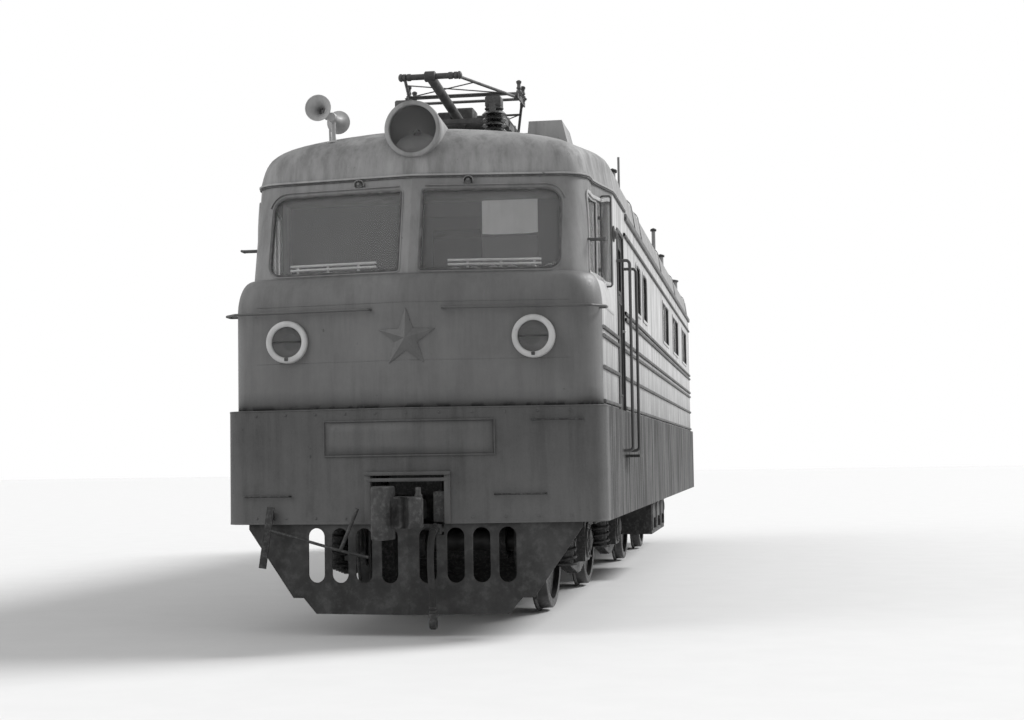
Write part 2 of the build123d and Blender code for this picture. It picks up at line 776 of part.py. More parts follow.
step_height = 1390
step_reach = 130
with BuildPart() as door_steps:
    for side in (-1, 1):
        with Locations((side * (skirt_half_width + step_reach / 2),
                        back((doorway_front + doorway_rear) / 2), above(step_height))):
            Box(step_reach, 500, 25)
keep(door_steps.part, "door_steps")

# Wind deflectors on the tapered part of the band: the right one swung out, the left one folded flat
deflector_bottom_height = 2850
deflector_top_height = 3640
deflector_depth = 1250
deflector_width = 88
deflector_thickness = 12
band_taper = (wall_half_width - band_half_width) / (band_taper_end - band_taper_start)
band_side_x = band_half_width + (deflector_depth - band_taper_start) * band_taper
deflector_tall = deflector_top_height - deflector_bottom_height
deflector_z = above(deflector_bottom_height) + deflector_tall / 2
with BuildPart() as wind_deflectors:
    with Locations((band_side_x + deflector_width / 2 - 3, back(deflector_depth), deflector_z)):
        Box(deflector_width, deflector_thickness, deflector_tall)
    with Locations(Location((-band_side_x - deflector_thickness / 2 + 1, back(deflector_depth), deflector_z),
                            (0, 0, degrees(atan2(band_taper, 1))))):
        Box(deflector_thickness, deflector_width, deflector_tall)
    add(cab_window_band.part, mode=Mode.SUBTRACT)
    add(cab_nose.part, mode=Mode.SUBTRACT)
keep(wind_deflectors.part, "wind_deflectors")

# Plow, notched where the brake pipe comes through
hose_x = 235
hose_cock_height = 830
hose_notch = 100
plow_set_back = 30
plow_thickness = 20
plow_bottom_height = 150
# Half outline from the top down: half width, height
plow_outline = [(1380, skirt_bottom_height), (1380, 830), (990, 275), (900, 275), (790, plow_bottom_height)]
plow_slot_x = [155, 375, 580, 785]
plow_slot_width = 140
plow_slot_low_height = 400
plow_slot_high_height = 840
plow_blank_half_width = 1400
plow_blank_rear = 420
plow_corner = 20
plow_stay_x = 1000
plow_stay_front = 190
plow_stay_rear = 460
with BuildPart() as plow:
    with BuildSketch(Plane.XY.offset(above(plow_bottom_height))):
        add(front_plan(plow_blank_half_width, plow_set_back, plow_corner, back(plow_blank_rear)))
        add(front_plan(plow_blank_half_width + 1, plow_set_back + plow_thickness, plow_corner,
                       back(plow_blank_rear + 1)), mode=Mode.SUBTRACT)
    extrude(amount=skirt_bottom_height - plow_bottom_height)
    with BuildSketch(cross(back(500))) as plow_front:
        with BuildLine():
            right = [(x, above(height)) for x, height in plow_outline]
            left = [(-x, z) for x, z in reversed(right)]
            Polyline(*right, *left, close=True)
        make_face()
        slot_height = plow_slot_high_height - plow_slot_low_height
        slot_middle = above(plow_slot_low_height) + slot_height / 2
        with Locations(*[(side * x, slot_middle) for side in (-1, 1) for x in plow_slot_x]):
            SlotOverall(slot_height, plow_slot_width, rotation=90, mode=Mode.SUBTRACT)
    extrude(amount=600, mode=Mode.INTERSECT)
    stay_y = back((plow_stay_front + plow_stay_rear) / 2)
    with Locations(*[(side * plow_stay_x, stay_y, above(skirt_bottom_height - 60)) for side in (-1, 1)]):
        Box(30, plow_stay_rear - plow_stay_front, 120)
    notch_deep = skirt_bottom_height - hose_cock_height + hose_notch / 2
    with Locations((hose_x, back(plow_set_back), above(skirt_bottom_height))):
        Box(hose_notch, 200, 2 * notch_deep, mode=Mode.SUBTRACT)
keep(plow.part, "plow")

# Automatic couplers: plans of the head and of its large tooth, x across and y forward of the pulling
# face, each with half its height
coupler_plan = [(75, -330), (120, -270), (235, -150), (262, 20), (170, 80), (132, -10), (80, -95),
                (20, -50), (5, 60), (-30, 110), (-105, 110), (-130, 60), (-140, -150), (-110, -270),
                (-75, -330)]
tooth_plan = [(20, -50), (5, 60), (-30, 120), (-110, 120), (-135, 60), (-145, -150), (20, -150)]
coupler_half_height = 120
tooth_half_height = 205
shank_half_width = 75
shank_half_height = 80
coupler_pin_clearance = 5
for name, end in (("front", -1), ("rear", 1)):
    face_y = end * (body_length / 2 + coupler_reach)
    pin_y = end * (body_length / 2 - coupler_pivot_depth)
    with BuildPart() as coupler:
        for plan, half_height in ((coupler_plan, coupler_half_height), (tooth_plan, tooth_half_height)):
            with BuildSketch(Plane.XY.offset(above(coupler_height) - half_height)):
                with BuildLine():
                    Polyline(*[(-end * x, face_y + end * y) for x, y in plan], close=True)
                make_face()
            extrude(amount=2 * half_height)
        head_back = face_y - end * 330
        with Locations((0, (head_back + pin_y) / 2, above(coupler_height))):
            Box(2 * shank_half_width, abs(pin_y - head_back), 2 * shank_half_height)
        with Locations((0, pin_y, above(coupler_height))):
            Cylinder(shank_half_width, 2 * shank_half_height)
            Cylinder(coupler_pin_radius + coupler_pin_clearance, 2 * shank_half_height, mode=Mode.SUBTRACT)
    keep(coupler.part, f"coupler_{name}")

# Uncoupling lever rod across the front, and its hand lever
lever_x = -1190
lever_rod_radius = 12
lever_stand_off = 75
lever_handle_tall = 500
lever_handle_middle_height = 768
lever_handle_lean = 8.5
lever_bracket_tall = 60
lever_bracket_height = skirt_bottom_height + 70
# Rod corner: x, height
lever_route = [(lever_x, 835), (-550, 665), (-310, 613)]
# Arm that goes up from the rod to the coupler's lock: x, height at its foot and at its top
lever_arm = [(-550, 665), (-400, 1000)]
lever_arm_radius = 15
with BuildPart() as uncoupling_lever:
    with BuildLine():
        route = FilletPolyline(*[(x, front_face_y(x, 0) - lever_stand_off, above(height))
                                 for x, height in lever_route], radius=30)
    with BuildSketch(Plane(origin=route @ 0, z_dir=route % 0)):
        Circle(lever_rod_radius)
    sweep(path=route)
    lever_y = front_face_y(lever_x, 0) - lever_stand_off
    lever_middle = (lever_x, lever_y, above(lever_handle_middle_height))
    with Locations(Location(lever_middle, (0, lever_handle_lean, 0))):
        Box(60, 14, lever_handle_tall)
    over_middle = lever_bracket_height - lever_handle_middle_height
    bracket_x = lever_x + over_middle * tan(radians(lever_handle_lean))
    with Locations((bracket_x, lever_y + lever_stand_off / 2, above(lever_bracket_height))):
        Box(40, lever_stand_off + 20, lever_bracket_tall)
    arm_foot, arm_top = [Vector(x, front_face_y(x, 0) - lever_stand_off, above(height))
                         for x, height in lever_arm]
    with BuildSketch(Plane(origin=arm_foot, z_dir=(arm_top - arm_foot).normalized())):
        Circle(lever_arm_radius)
    extrude(amount=(arm_top - arm_foot).length)
    add(front_apron.part, mode=Mode.SUBTRACT)
keep(uncoupling_lever.part, "uncoupling_lever")

# Brake hoses: end cocks under the couplers, and hoses that hang from them
hose_radius = 27
hose_cock_depth = 380
hose_cock_front = 20
nipple_radius = 31
# Hose centre line: distance beyond the body end, height above the rail
hose_route = [(70, 830), (150, 800), (215, 725), (235, 620), (225, 510), (200, 400), (170, 290), (150, 185)]


def eased_radii(points):
    """Arc radius at each inner corner, 0.45 of its shorter run over the tangent of half the turn."""
    radii = []
    for before, at, after in zip(points, points[1:], points[2:]):
        run_in = Vector(*at) - Vector(*before)
        run_out = Vector(*after) - Vector(*at)
        turn = radians(run_in.get_angle(run_out))
        radii.append(0.45 * min(run_in.length, run_out.length) / tan(turn / 2))
    return radii


def hose_points(end):
    """Corners of one hose's centre line, from its cock down to its head."""
    return [(-end * hose_x, end * (body_length / 2 + beyond), above(height))
            for beyond, height in hose_route]


with BuildPart() as hose_cocks:
    for end in (-1, 1):
        start = Vector(*hose_points(end)[0])
        leave = (Vector(*hose_points(end)[1]) - start).normalized()
        low_y = end * (body_length / 2 - hose_cock_depth)
        high_y = end * (body_length / 2 + hose_cock_front)
        with Locations((start.X, (low_y + high_y) / 2, start.Z)):
            Cylinder(34, abs(high_y - low_y), rotation=(90, 0, 0))
        with Locations((start.X, high_y, start.Z)):
            Box(90, 60, 80)
        with Locations((start.X, low_y, start.Z + 30)):
            Box(60, 40, 120)
        with BuildSketch(Plane(origin=start, z_dir=leave)):
            Circle(nipple_radius)
        extrude(amount=-60)
    add(underframe.part, mode=Mode.SUBTRACT)
keep(hose_cocks.part, "hose_cocks")

for name, end in (("front", -1), ("rear", 1)):
    points = hose_points(end)
    radii = eased_radii(points)
    print(name, "hose radii", [round(radius) for radius in radii])
    with BuildPart() as hose:
        with BuildLine():
            route = FilletPolyline(*points, radius=radii)
        with BuildSketch(Plane(origin=points[0], z_dir=route % 0)):
            Circle(hose_radius)
        sweep(path=route)
    keep(hose.part, f"brake_hose_{name}")

with BuildPart() as hose_heads:
    for end in (-1, 1):
        tip = Vector(*hose_points(end)[-1])
        down = (tip - Vector(*hose_points(end)[-2])).normalized()
        with BuildSketch(Plane(origin=tip, z_dir=down)):
            Circle(36)
        extrude(amount=60)
        with Locations(Plane(origin=tip + down * 80, z_dir=down)):
            Box(90, 110, 60)
keep(hose_heads.part, "hose_heads")

# Under the floor between the bogies: battery boxes and air reservoirs
battery_inner = 850
battery_outer = 1480
battery_bottom_height = 480
with BuildPart() as battery_boxes:
    battery_x = (battery_inner + battery_outer) / 2
    for side in (-1, 1):
        tall = sill_bottom_height - battery_bottom_height
        with Locations((side * battery_x, 0, above(battery_bottom_height) + tall / 2)):
            Box(battery_outer - battery_inner, 2 * battery_half_length, tall)
keep(battery_boxes.part, "battery_boxes")

reservoir_radius = 170
reservoir_length = 2000
reservoir_strap_y = 700
with BuildPart() as air_reservoirs:
    centre_z = above(transformer_bottom_height) - reservoir_radius - 40
    for x in (-1, 0, 1):
        with Locations((x * (2 * reservoir_radius + 60), 0, centre_z)):
            Cylinder(reservoir_radius, reservoir_length, rotation=(90, 0, 0))
    with Locations(*[(0, end * reservoir_strap_y, centre_z + reservoir_radius) for end in (-1, 1)]):
        Box(2 * transformer_half_width, 80, 80)
keep(air_reservoirs.part, "air_reservoirs")

# Wheelsets: tread, flange and axle turned about X
wheel_back = wheel_back_to_back / 2
hub_radius = 150
web_radius = 540
web_half = 22
# Half profile: x, radius
wheel_face = wheel_back + wheel_width
wheel_middle = wheel_back + wheel_width / 2
wheel_profile = [
    (0, 0), (0, axle_radius), (wheel_back - 40, axle_radius), (wheel_back - 40, hub_radius),
    (wheel_middle - web_half, hub_radius), (wheel_middle - web_half, web_radius),
    (wheel_back, web_radius), (wheel_back, wheel_radius + flange_height - 8),
    (wheel_back + 8, wheel_radius + flange_height), (wheel_back + 18, wheel_radius + flange_height),
    (wheel_back + flange_width, wheel_radius + 2), (wheel_face - 8, wheel_radius - 4),
    (wheel_face, wheel_radius - 12), (wheel_face, web_radius), (wheel_middle + web_half, web_radius),
    (wheel_middle + web_half, hub_radius), (wheel_face + 10, hub_radius), (wheel_face + 10, journal_radius),
    (journal_end, journal_radius), (journal_end, 0)]
with BuildPart() as turned:
    with BuildSketch(Plane.XY) as half:
        with BuildLine():
            mirrored = [(-x, radius) for x, radius in reversed(wheel_profile) if x > 0]
            Polyline(*[point for point in wheel_profile if point != (0, 0)], *mirrored, close=True)
        make_face()
    revolve(axis=Axis.X)
for number, y in enumerate(axle_ys, start=1):
    with BuildPart() as wheelset:
        add(turned.part.moved(Location((0, y, axle_z))))
    keep(wheelset.part, f"wheelset_{number}")

# Bogies
end_beam_width = 120
centre_beam_half = 330
centre_beam_bottom_height = 700
centre_beam_top_height = 1080
axle_box_half_length = 190
axle_box_half_height = 190
axle_box_inner = 940
axle_box_outer = 1180
link_radius = 42
link_rise = 50
bracket_reach = 420
bracket_width = 100
bracket_half = 70
bracket_bottom_height = 540
leaf_count = 6
leaf_thickness = 16
leaf_longest = 1240
leaf_step = 190
leaf_half_width = 50
coil_radius = 70
coil_reach = 580
bearer_radius = 110
bearer_y = 150
motor_radius = 470
motor_half_width = 480
motor_offset = 604
gear_case_inner = 560
gear_case_outer = 680
gear_case_radius = 430
pinion_case_radius = 190
axle_bore = axle_radius + 6
nose_height = 120
shoe_gap = 11
shoe_thickness = 55
shoe_half_angle = 17
shoe_inner = wheel_back + flange_width + 5
shoe_outer = wheel_face - 10
hanger_width = 40
hanger_lap = 4

for name, centre_y in bogie_ys.items():
    axles = [(centre_y + end * wheelbase / 2, end) for end in (-1, 1)]

    with BuildPart() as bogie_frame:
        beam_height = side_beam_top_height - side_beam_bottom_height
        for side in (-1, 1):
            with Locations((side * side_beam_x, centre_y, above(side_beam_bottom_height) + beam_height / 2)):
                Box(side_beam_width, 2 * bogie_half_length, beam_height)
            for axle_y, end in axles:
                for reach in (-1, 1):
                    tall = side_beam_bottom_height - bracket_bottom_height
                    with Locations((side * side_beam_x, axle_y + reach * bracket_reach,
                                    above(bracket_bottom_height) + tall / 2)):
                        Box(2 * bracket_half, bracket_width, tall)
            bearer_height = bolster_bottom_height - bearer_gap - side_beam_top_height
            with Locations(*[(side * side_beam_x, centre_y + place * bearer_y,
                              above(side_beam_top_height) + bearer_height / 2) for place in (-1, 1)]):
                Cylinder(bearer_radius - 20, bearer_height)
        tall = centre_beam_top_height - centre_beam_bottom_height
        with Locations((0, centre_y, above(centre_beam_bottom_height) + tall / 2)):
            Box(2 * side_beam_x, 2 * centre_beam_half, tall)
            Cylinder(pivot_radius + pivot_clearance, tall, mode=Mode.SUBTRACT)
        for end in (-1, 1):
            with Locations((0, centre_y + end * (bogie_half_length - end_beam_width / 2),
                            above(side_beam_bottom_height) + 100)):
                Box(2 * side_beam_x, end_beam_width, 200)
    keep(bogie_frame.part, f"bogie_frame_{name}")

    with BuildPart() as running_gear:
        for side in (-1, 1):
            box_x = side * (axle_box_inner + axle_box_outer) / 2
            for axle_y, end in axles:
                with Locations((box_x, axle_y, axle_z)):
                    Box(axle_box_outer - axle_box_inner, 2 * axle_box_half_length, 2 * axle_box_half_height)
                with Locations((side * (axle_box_inner + journal_end + 6) / 2, axle_y, axle_z)):
                    Cylinder(journal_radius + 2, journal_end + 6 - axle_box_inner, rotation=(0, 90, 0),
                             mode=Mode.SUBTRACT)
                link_length = bracket_reach - bracket_width / 2 - axle_box_half_length
                link_y = axle_box_half_length + link_length / 2
                with Locations(*[(side * side_beam_x, axle_y + reach * link_y, axle_z + reach * link_rise)
                                 for reach in (-1, 1)]):
                    Cylinder(link_radius, link_length, rotation=(90, 0, 0))
                for leaf in range(leaf_count):
                    leaf_z = axle_z - axle_box_half_height - 10 - leaf_thickness * (leaf + 0.5)
                    with Locations((side * side_beam_x, axle_y, leaf_z)):
                        Box(2 * leaf_half_width, leaf_longest - leaf_step * leaf, leaf_thickness)
                with Locations((side * side_beam_x, axle_y, axle_z - axle_box_half_height - 5)):
                    Box(2 * leaf_half_width, 160, 10)
                coil_low = axle_z - axle_box_half_height - 10
                coil_height = above(side_beam_bottom_height) - coil_low
                coil_z = coil_low + coil_height / 2
                with Locations(*[(side * side_beam_x, axle_y + reach * coil_reach, coil_z)
                                 for reach in (-1, 1)]):
                    Cylinder(coil_radius, coil_height)
        for axle_y, end in axles:
            for reach in (-1, 1):
                for side in (-1, 1):
                    low_x = side * shoe_inner if side > 0 else -shoe_outer
                    with BuildSketch(lengthways(low_x)):
                        with Locations((axle_y, axle_z)):
                            Circle(wheel_radius + shoe_gap + shoe_thickness)
                            Circle(wheel_radius + shoe_gap, mode=Mode.SUBTRACT)
                        with Locations((axle_y + reach * wheel_radius, axle_z)):
                            Rectangle(wheel_radius, 2 * wheel_radius * sin(radians(shoe_half_angle)),
                                      mode=Mode.INTERSECT)
                    extrude(amount=shoe_outer - shoe_inner)
                    hanger_reach = wheel_radius + shoe_gap + shoe_thickness + hanger_width / 2 - hanger_lap
                    hanger_y = axle_y + reach * hanger_reach
                    hanger_top = above(side_beam_bottom_height + 110)
                    hanger_bottom = axle_z - 60
                    middle_x = side * (shoe_inner + shoe_outer) / 2
                    with Locations((middle_x, hanger_y, (hanger_top + hanger_bottom) / 2)):
                        Box(hanger_width, hanger_width, hanger_top - hanger_bottom)
                    beam_inner = side_beam_x - side_beam_width / 2
                    low_x = abs(middle_x) - hanger_width / 2
                    with Locations((side * (low_x + beam_inner) / 2, hanger_y, hanger_top - 30)):
                        Box(beam_inner - low_x, hanger_width, 60)
        add(bogie_frame.part, mode=Mode.SUBTRACT)
    keep(running_gear.part, f"running_gear_{name}")

    with BuildPart() as motors:
        for axle_y, end in axles:
            motor_y = axle_y - end * motor_offset
            with BuildSketch(lengthways(-motor_half_width)):
                with Locations((motor_y, axle_z)):
                    RegularPolygon(motor_radius, 8, rotation=22.5)
                with Locations((axle_y, axle_z)):
                    Circle(axle_bore, mode=Mode.SUBTRACT)
            extrude(amount=2 * motor_half_width)
            for side in (-1, 1):
                start_x = side * gear_case_inner if side > 0 else -gear_case_outer
                with BuildSketch(lengthways(start_x)):
                    with Locations((axle_y, axle_z)):
                        Circle(gear_case_radius)
                    with Locations((motor_y, axle_z)):
                        Circle(pinion_case_radius)
                    with Locations(((axle_y + motor_y) / 2, axle_z)):
                        Rectangle(motor_offset, 2 * pinion_case_radius)
                    with Locations((axle_y, axle_z)):
                        Circle(axle_bore, mode=Mode.SUBTRACT)
                extrude(amount=gear_case_outer - gear_case_inner)
                gap = gear_case_inner - motor_half_width
                with Locations((side * (motor_half_width + gap / 2), motor_y, axle_z)):
                    Cylinder(pinion_case_radius - 40, gap, rotation=(0, 90, 0))
                with BuildSketch(lengthways(side * 380 - 60)):
                    with Locations(((axle_y + motor_y) / 2 + end * 30, axle_z)):
                        Rectangle(motor_offset, 300)
                    with Locations((axle_y, axle_z)):
                        Circle(170)
                        Circle(axle_bore, mode=Mode.SUBTRACT)
                extrude(amount=120)
            nose_y = centre_y + end * centre_beam_half
            near_y = motor_y - end * motor_radius * cos(radians(22.5))
            with Locations((0, (nose_y + near_y) / 2, axle_z + 60 + above(0))):
                Box(260, abs(near_y - nose_y), nose_height)
    keep(motors.part, f"traction_motors_{name}")


# Horns: two bells on one post on the left of the cab roof
horn_post_x = -760
horn_post_depth = 700
horn_post_radius = 18
horn_bracket_depth = 40
# Horn: x, height above the roof gear level, distance behind the apron of its mouth and of its small
# end, mouth radius
horns_table = [(-856, 162, 560, 845, 113), (-760, 95, 870, 640, 102)]
horn_throat_radius = 28
horn_wall = 12

with BuildPart() as horns:
    for x, over_gear, mouth, small, radius in horns_table:
        toward = 1 if small > mouth else -1
        horn_z = above(roof_gear_height + over_gear)
        with BuildSketch(Plane.XY.offset(horn_z)):
            with BuildLine():
                Polyline((x, back(small)), (x + horn_throat_radius, back(small)),
                         (x + horn_throat_radius + 4, back(mouth + toward * 110)),
                         (x + radius * 0.55, back(mouth + toward * 45)), (x + radius, back(mouth)),
                         (x + radius - horn_wall, back(mouth)), (x, back(mouth + toward * 60)), close=True)
            make_face()
        revolve(axis=Axis((x, 0, horn_z), (0, 1, 0)))
    front_x, front_over = horns_table[0][:2]
    rear_x, rear_over = horns_table[1][:2]
    post_tall = roof_gear_height + rear_over - gutter_height
    with Locations((horn_post_x, back(horn_post_depth), above(gutter_height) + post_tall / 2)):
        Cylinder(horn_post_radius, post_tall)
    with Locations(((front_x + rear_x) / 2, back(horn_post_depth),
                    above(roof_gear_height + (front_over + rear_over) / 2))):
        Box(abs(front_x - rear_x), horn_bracket_depth, abs(front_over - rear_over))
    add(cab_roof.part, mode=Mode.SUBTRACT)
keep(horns.part, "horns")

# Trapezoid box on the cab roof, and posts along the right edge of the roof
# Post: x, distance behind the apron, height above the roof gear level, radius
roof_box_top_height = roof_gear_height + 95
roof_box_rear = 1800
roof_box_length = 600
roof_post_foot = gutter_height + roof_side_rise
roof_post_table = [(1400, 3200, -30, 30), (1400, 3900, 240, 12), (1400, 9000, 170, 25),
                   (1400, 10400, -10, 40), (1370, 13900, 0, 70)]
with BuildPart() as roof_fittings:
    with BuildSketch(cross(back(roof_box_rear))):
        with BuildLine():
            Polyline((800, above(gutter_height)), (860, above(roof_box_top_height)),
                     (1150, above(roof_box_top_height)), (1290, above(gutter_height)), close=True)
        make_face()
    extrude(amount=roof_box_length)
    for x, depth, over_gear, radius in roof_post_table:
        top = roof_gear_height + over_gear
        with Locations((x, back(depth), above((roof_post_foot + top) / 2))):
            Cylinder(radius, top - roof_post_foot)
    add(cab_roof.part, mode=Mode.SUBTRACT)
    add(roof_trimmer.part, mode=Mode.SUBTRACT)
keep(roof_fittings.part, "roof_fittings")

# Hatch: front and rear end behind the apron
hatches = [(5200, 8200), (8500, 11300), (11600, 14600)]
hatch_half_width = 1000
hatch_rise = 70
hatch_side = 300
with BuildPart() as roof_hatches:
    for start, end in hatches:
        with BuildSketch(cross(back(end))):
            with Locations((0, above(crown_height + hatch_rise) - hatch_side / 2)):
                Rectangle(2 * hatch_half_width, hatch_side)
        extrude(amount=end - start)
    add(roof_trimmer.part, mode=Mode.SUBTRACT)
keep(roof_hatches.part, "roof_hatches")

insulator_sheds = 5
insulator_core = 55
insulator_shed = 105


def insulator(x, y, low, high):
    """Ribbed insulator standing at this place, outside any builder."""
    with BuildPart() as post:
        with Locations((x, y, (low + high) / 2)):
            Cylinder(insulator_core, high - low)
        pitch = (high - low) / insulator_sheds
        for shed in range(insulator_sheds):
            with Locations((x, y, low + pitch * (shed + 0.5))):
                Cone(insulator_shed, insulator_core, pitch * 0.7)
    return post.part


# High-voltage gear: insulators along the roof that carry the busbar, and the main switch
busbar_x = -350
busbar_over_gear = 500
busbar_width = 60
busbar_thickness = 30
busbar_depths = [5000, 6600, 8000]
switch_x = 500
switch_depths = [6400, 7400]
switch_radius = 70
switch_overhang = 100
switch_seat = 10
busbar_z = above(roof_gear_height + busbar_over_gear)
with BuildPart() as high_voltage_gear:
    for depth in busbar_depths:
        foot = roof_height(busbar_x) if depth < hatches[0][0] else crown_height + hatch_rise
        add(insulator(busbar_x, back(depth), above(foot), busbar_z))
    busbar_length = busbar_depths[-1] - busbar_depths[0]
    with Locations((busbar_x, back(busbar_depths[0]) + busbar_length / 2, busbar_z + busbar_thickness / 2)):
        Box(busbar_width, busbar_length + 2 * busbar_width, busbar_thickness)
    for depth in switch_depths:
        add(insulator(switch_x, back(depth), above(crown_height + hatch_rise), busbar_z))
    switch_length = switch_depths[1] - switch_depths[0] + 2 * switch_overhang
    with Locations((switch_x, back(sum(switch_depths) / 2), busbar_z + switch_radius - switch_seat)):
        Cylinder(switch_radius, switch_length, rotation=(90, 0, 0))
    with Locations(((busbar_x + switch_x) / 2, back(busbar_depths[1]), busbar_z + busbar_thickness / 2)):
        Box(switch_x - busbar_x, busbar_width, busbar_thickness)
    add(roof_trimmer.part, mode=Mode.SUBTRACT)
keep(high_voltage_gear.part, "high_voltage_gear")

# Pantograph: base on four insulators, two shafts, lower arms, upper frames and the head
panto_y = back(panto_depth)
base_beam_x = 425
base_beam_width = 60
base_half_length = 1000
base_bottom_height = roof_gear_height + 352
base_beam_height = 80
panto_insulator_y = 900
shaft_pin_radius = 25
shaft_radius = 55
running_gap = 0.05
pivot_gap = 6
arm_radius = 44
elbow_radius = 26
elbow_pin_radius = 14
elbow_eye_radius = 32
elbow_eye_width = 28
upper_radius = 14
head_pin_radius = 12
brace_share = 0.8
brace_radius = 11
head_eye_radius = 26
open_pivot_gap = 3
rise = panto_arm * sin(radians(panto_rest_angle))
run = panto_arm * cos(radians(panto_rest_angle))
shaft_z = above(base_bottom_height + base_beam_height / 2)
elbow_z = shaft_z + rise
head_z = elbow_z + rise

with BuildPart() as panto_insulators:
    for side in (-1, 1):
        for end in (-1, 1):
            add(insulator(side * base_beam_x, panto_y + end * panto_insulator_y,
                          above(roof_height(base_beam_x)) - 30, above(base_bottom_height)))
    add(roof_trimmer.part, mode=Mode.SUBTRACT)
    add(cab_roof.part, mode=Mode.SUBTRACT)
keep(panto_insulators.part, "pantograph_insulators")

with BuildPart() as panto_base:
    for side in (-1, 1):
        with Locations((side * base_beam_x, panto_y, above(base_bottom_height) + base_beam_height / 2)):
            Box(base_beam_width, 2 * base_half_length, base_beam_height)
    for end in (-1, 1):
        with Locations((0, panto_y + end * 700, above(base_bottom_height) - 20)):
            Box(2 * base_beam_x + base_beam_width, 60, 40)
    with Locations(*[(0, panto_y + end * panto_shaft_y, shaft_z) for end in (-1, 1)]):
        Cylinder(shaft_pin_radius + running_gap, 4 * base_beam_x, rotation=(0, 90, 0), mode=Mode.SUBTRACT)
keep(panto_base.part, "pantograph_base")


def tube(start, finish, radius):
    """Round bar between two points, outside any builder."""
    way = Vector(*finish) - Vector(*start)
    with BuildPart() as bar:
        with BuildSketch(Plane(origin=start, z_dir=way.normalized())):
            Circle(radius)
        extrude(amount=way.length)
    return bar.part


def across(half_length, radius, y, z):
    """Round bar across the body, centred on x = 0, outside any builder."""
    return tube((-half_length, y, z), (half_length, y, z), radius)


for name, end in (("front", -1), ("rear", 1)):
    shaft_y = panto_y + end * panto_shaft_y
    elbow_y = shaft_y + end * run
    head_y = elbow_y - end * run
    with BuildPart() as lower_arm:
        add(across(base_beam_x - base_beam_width / 2 - pivot_gap, shaft_radius, shaft_y, shaft_z))
        add(across(base_beam_x + base_beam_width / 2 - 5, shaft_pin_radius, shaft_y, shaft_z))
        add(tube((0, shaft_y, shaft_z), (0, elbow_y, elbow_z), arm_radius))
        add(across(panto_elbow_half, elbow_radius, elbow_y, elbow_z))
        add(across(panto_elbow_half + pivot_gap + elbow_eye_width + 6, elbow_pin_radius, elbow_y, elbow_z))
    keep(lower_arm.part, f"pantograph_arm_{name}")

    eye_x = panto_elbow_half + pivot_gap + elbow_eye_width / 2
    head_eye_x = panto_head_half - 30
    bore = head_pin_radius + (running_gap if end < 0 else open_pivot_gap)
    with BuildPart() as upper_frame:
        for side in (-1, 1):
            start = (side * eye_x, elbow_y, elbow_z)
            finish = (side * head_eye_x, head_y, head_z)
            add(tube(start, finish, upper_radius))
            with Locations(start):
                Cylinder(elbow_eye_radius, elbow_eye_width, rotation=(0, 90, 0))
                Cylinder(elbow_pin_radius + running_gap, 2 * elbow_eye_width, rotation=(0, 90, 0),
                         mode=Mode.SUBTRACT)
            with Locations(finish):
                Cylinder(head_eye_radius, 24, rotation=(0, 90, 0))
                Cylinder(bore, 60, rotation=(0, 90, 0), mode=Mode.SUBTRACT)
        brace_y = elbow_y + (head_y - elbow_y) * brace_share
        brace_z = elbow_z + (head_z - elbow_z) * brace_share
        add(across(eye_x + (head_eye_x - eye_x) * brace_share, brace_radius, brace_y, brace_z))
    keep(upper_frame.part, f"pantograph_frame_{name}")

head_plate_inner = head_eye_x + 12 + pivot_gap
head_plate_outer = head_plate_inner + 14
strip_rise = 45
strip_reach = 130
strip_overhang = 30
finial_radius = 16
finial_rise = 150
with BuildPart() as panto_head:
    for side in (-1, 1):
        plate_x = side * (head_plate_inner + head_plate_outer) / 2
        with Locations((plate_x, panto_y, head_z + 10)):
            Box(head_plate_outer - head_plate_inner, 2 * panto_shaft_y + 60, 50)
        for end in (-1, 1):
            pin_y = panto_y + end * panto_shaft_y
            low_x = head_eye_x - 14
            add(tube((side * low_x, pin_y, head_z), (side * head_plate_outer, pin_y, head_z),
                     head_pin_radius))
            with Locations((plate_x, panto_y + end * strip_reach, head_z + finial_rise / 2)):
                Cylinder(finial_radius, finial_rise)
    for end in (-1, 1):
        with Locations((0, panto_y + end * strip_reach, head_z + strip_rise)):
            Box(2 * (head_plate_outer + strip_overhang), 40, 14)
keep(panto_head.part, "pantograph_head")
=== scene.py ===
"""Finish and fine parts of a single-cab electric locomotive section.

Metres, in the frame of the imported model: X across, Y back from the cab front, Z up from
the wheel flange tips. Every new piece is a surface computed with numpy: a grid of points
given by a function of two parameters, or a profile carried along a path.
"""

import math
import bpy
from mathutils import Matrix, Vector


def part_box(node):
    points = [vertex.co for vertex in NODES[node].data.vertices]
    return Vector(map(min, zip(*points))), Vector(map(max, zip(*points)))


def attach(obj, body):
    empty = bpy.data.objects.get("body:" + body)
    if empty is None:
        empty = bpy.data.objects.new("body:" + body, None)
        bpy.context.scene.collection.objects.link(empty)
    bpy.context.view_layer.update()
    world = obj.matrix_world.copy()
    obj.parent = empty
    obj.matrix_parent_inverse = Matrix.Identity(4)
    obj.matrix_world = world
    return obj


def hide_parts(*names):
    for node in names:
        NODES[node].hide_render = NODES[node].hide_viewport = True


bl_info = {
    "name": "Electric locomotive section",
    "version": (1, 0, 0),
    "blender": (4, 5, 0),
    "location": "View3D > Sidebar > Locomotive",
    "description": "Builds the finish and fine parts of an electric locomotive section",
    "category": "Object",
}

import bmesh
import bpy
import numpy as np
from bpy.props import FloatProperty, FloatVectorProperty, IntProperty, PointerProperty
from bpy.types import Operator, Panel, PropertyGroup
from mathutils import Matrix

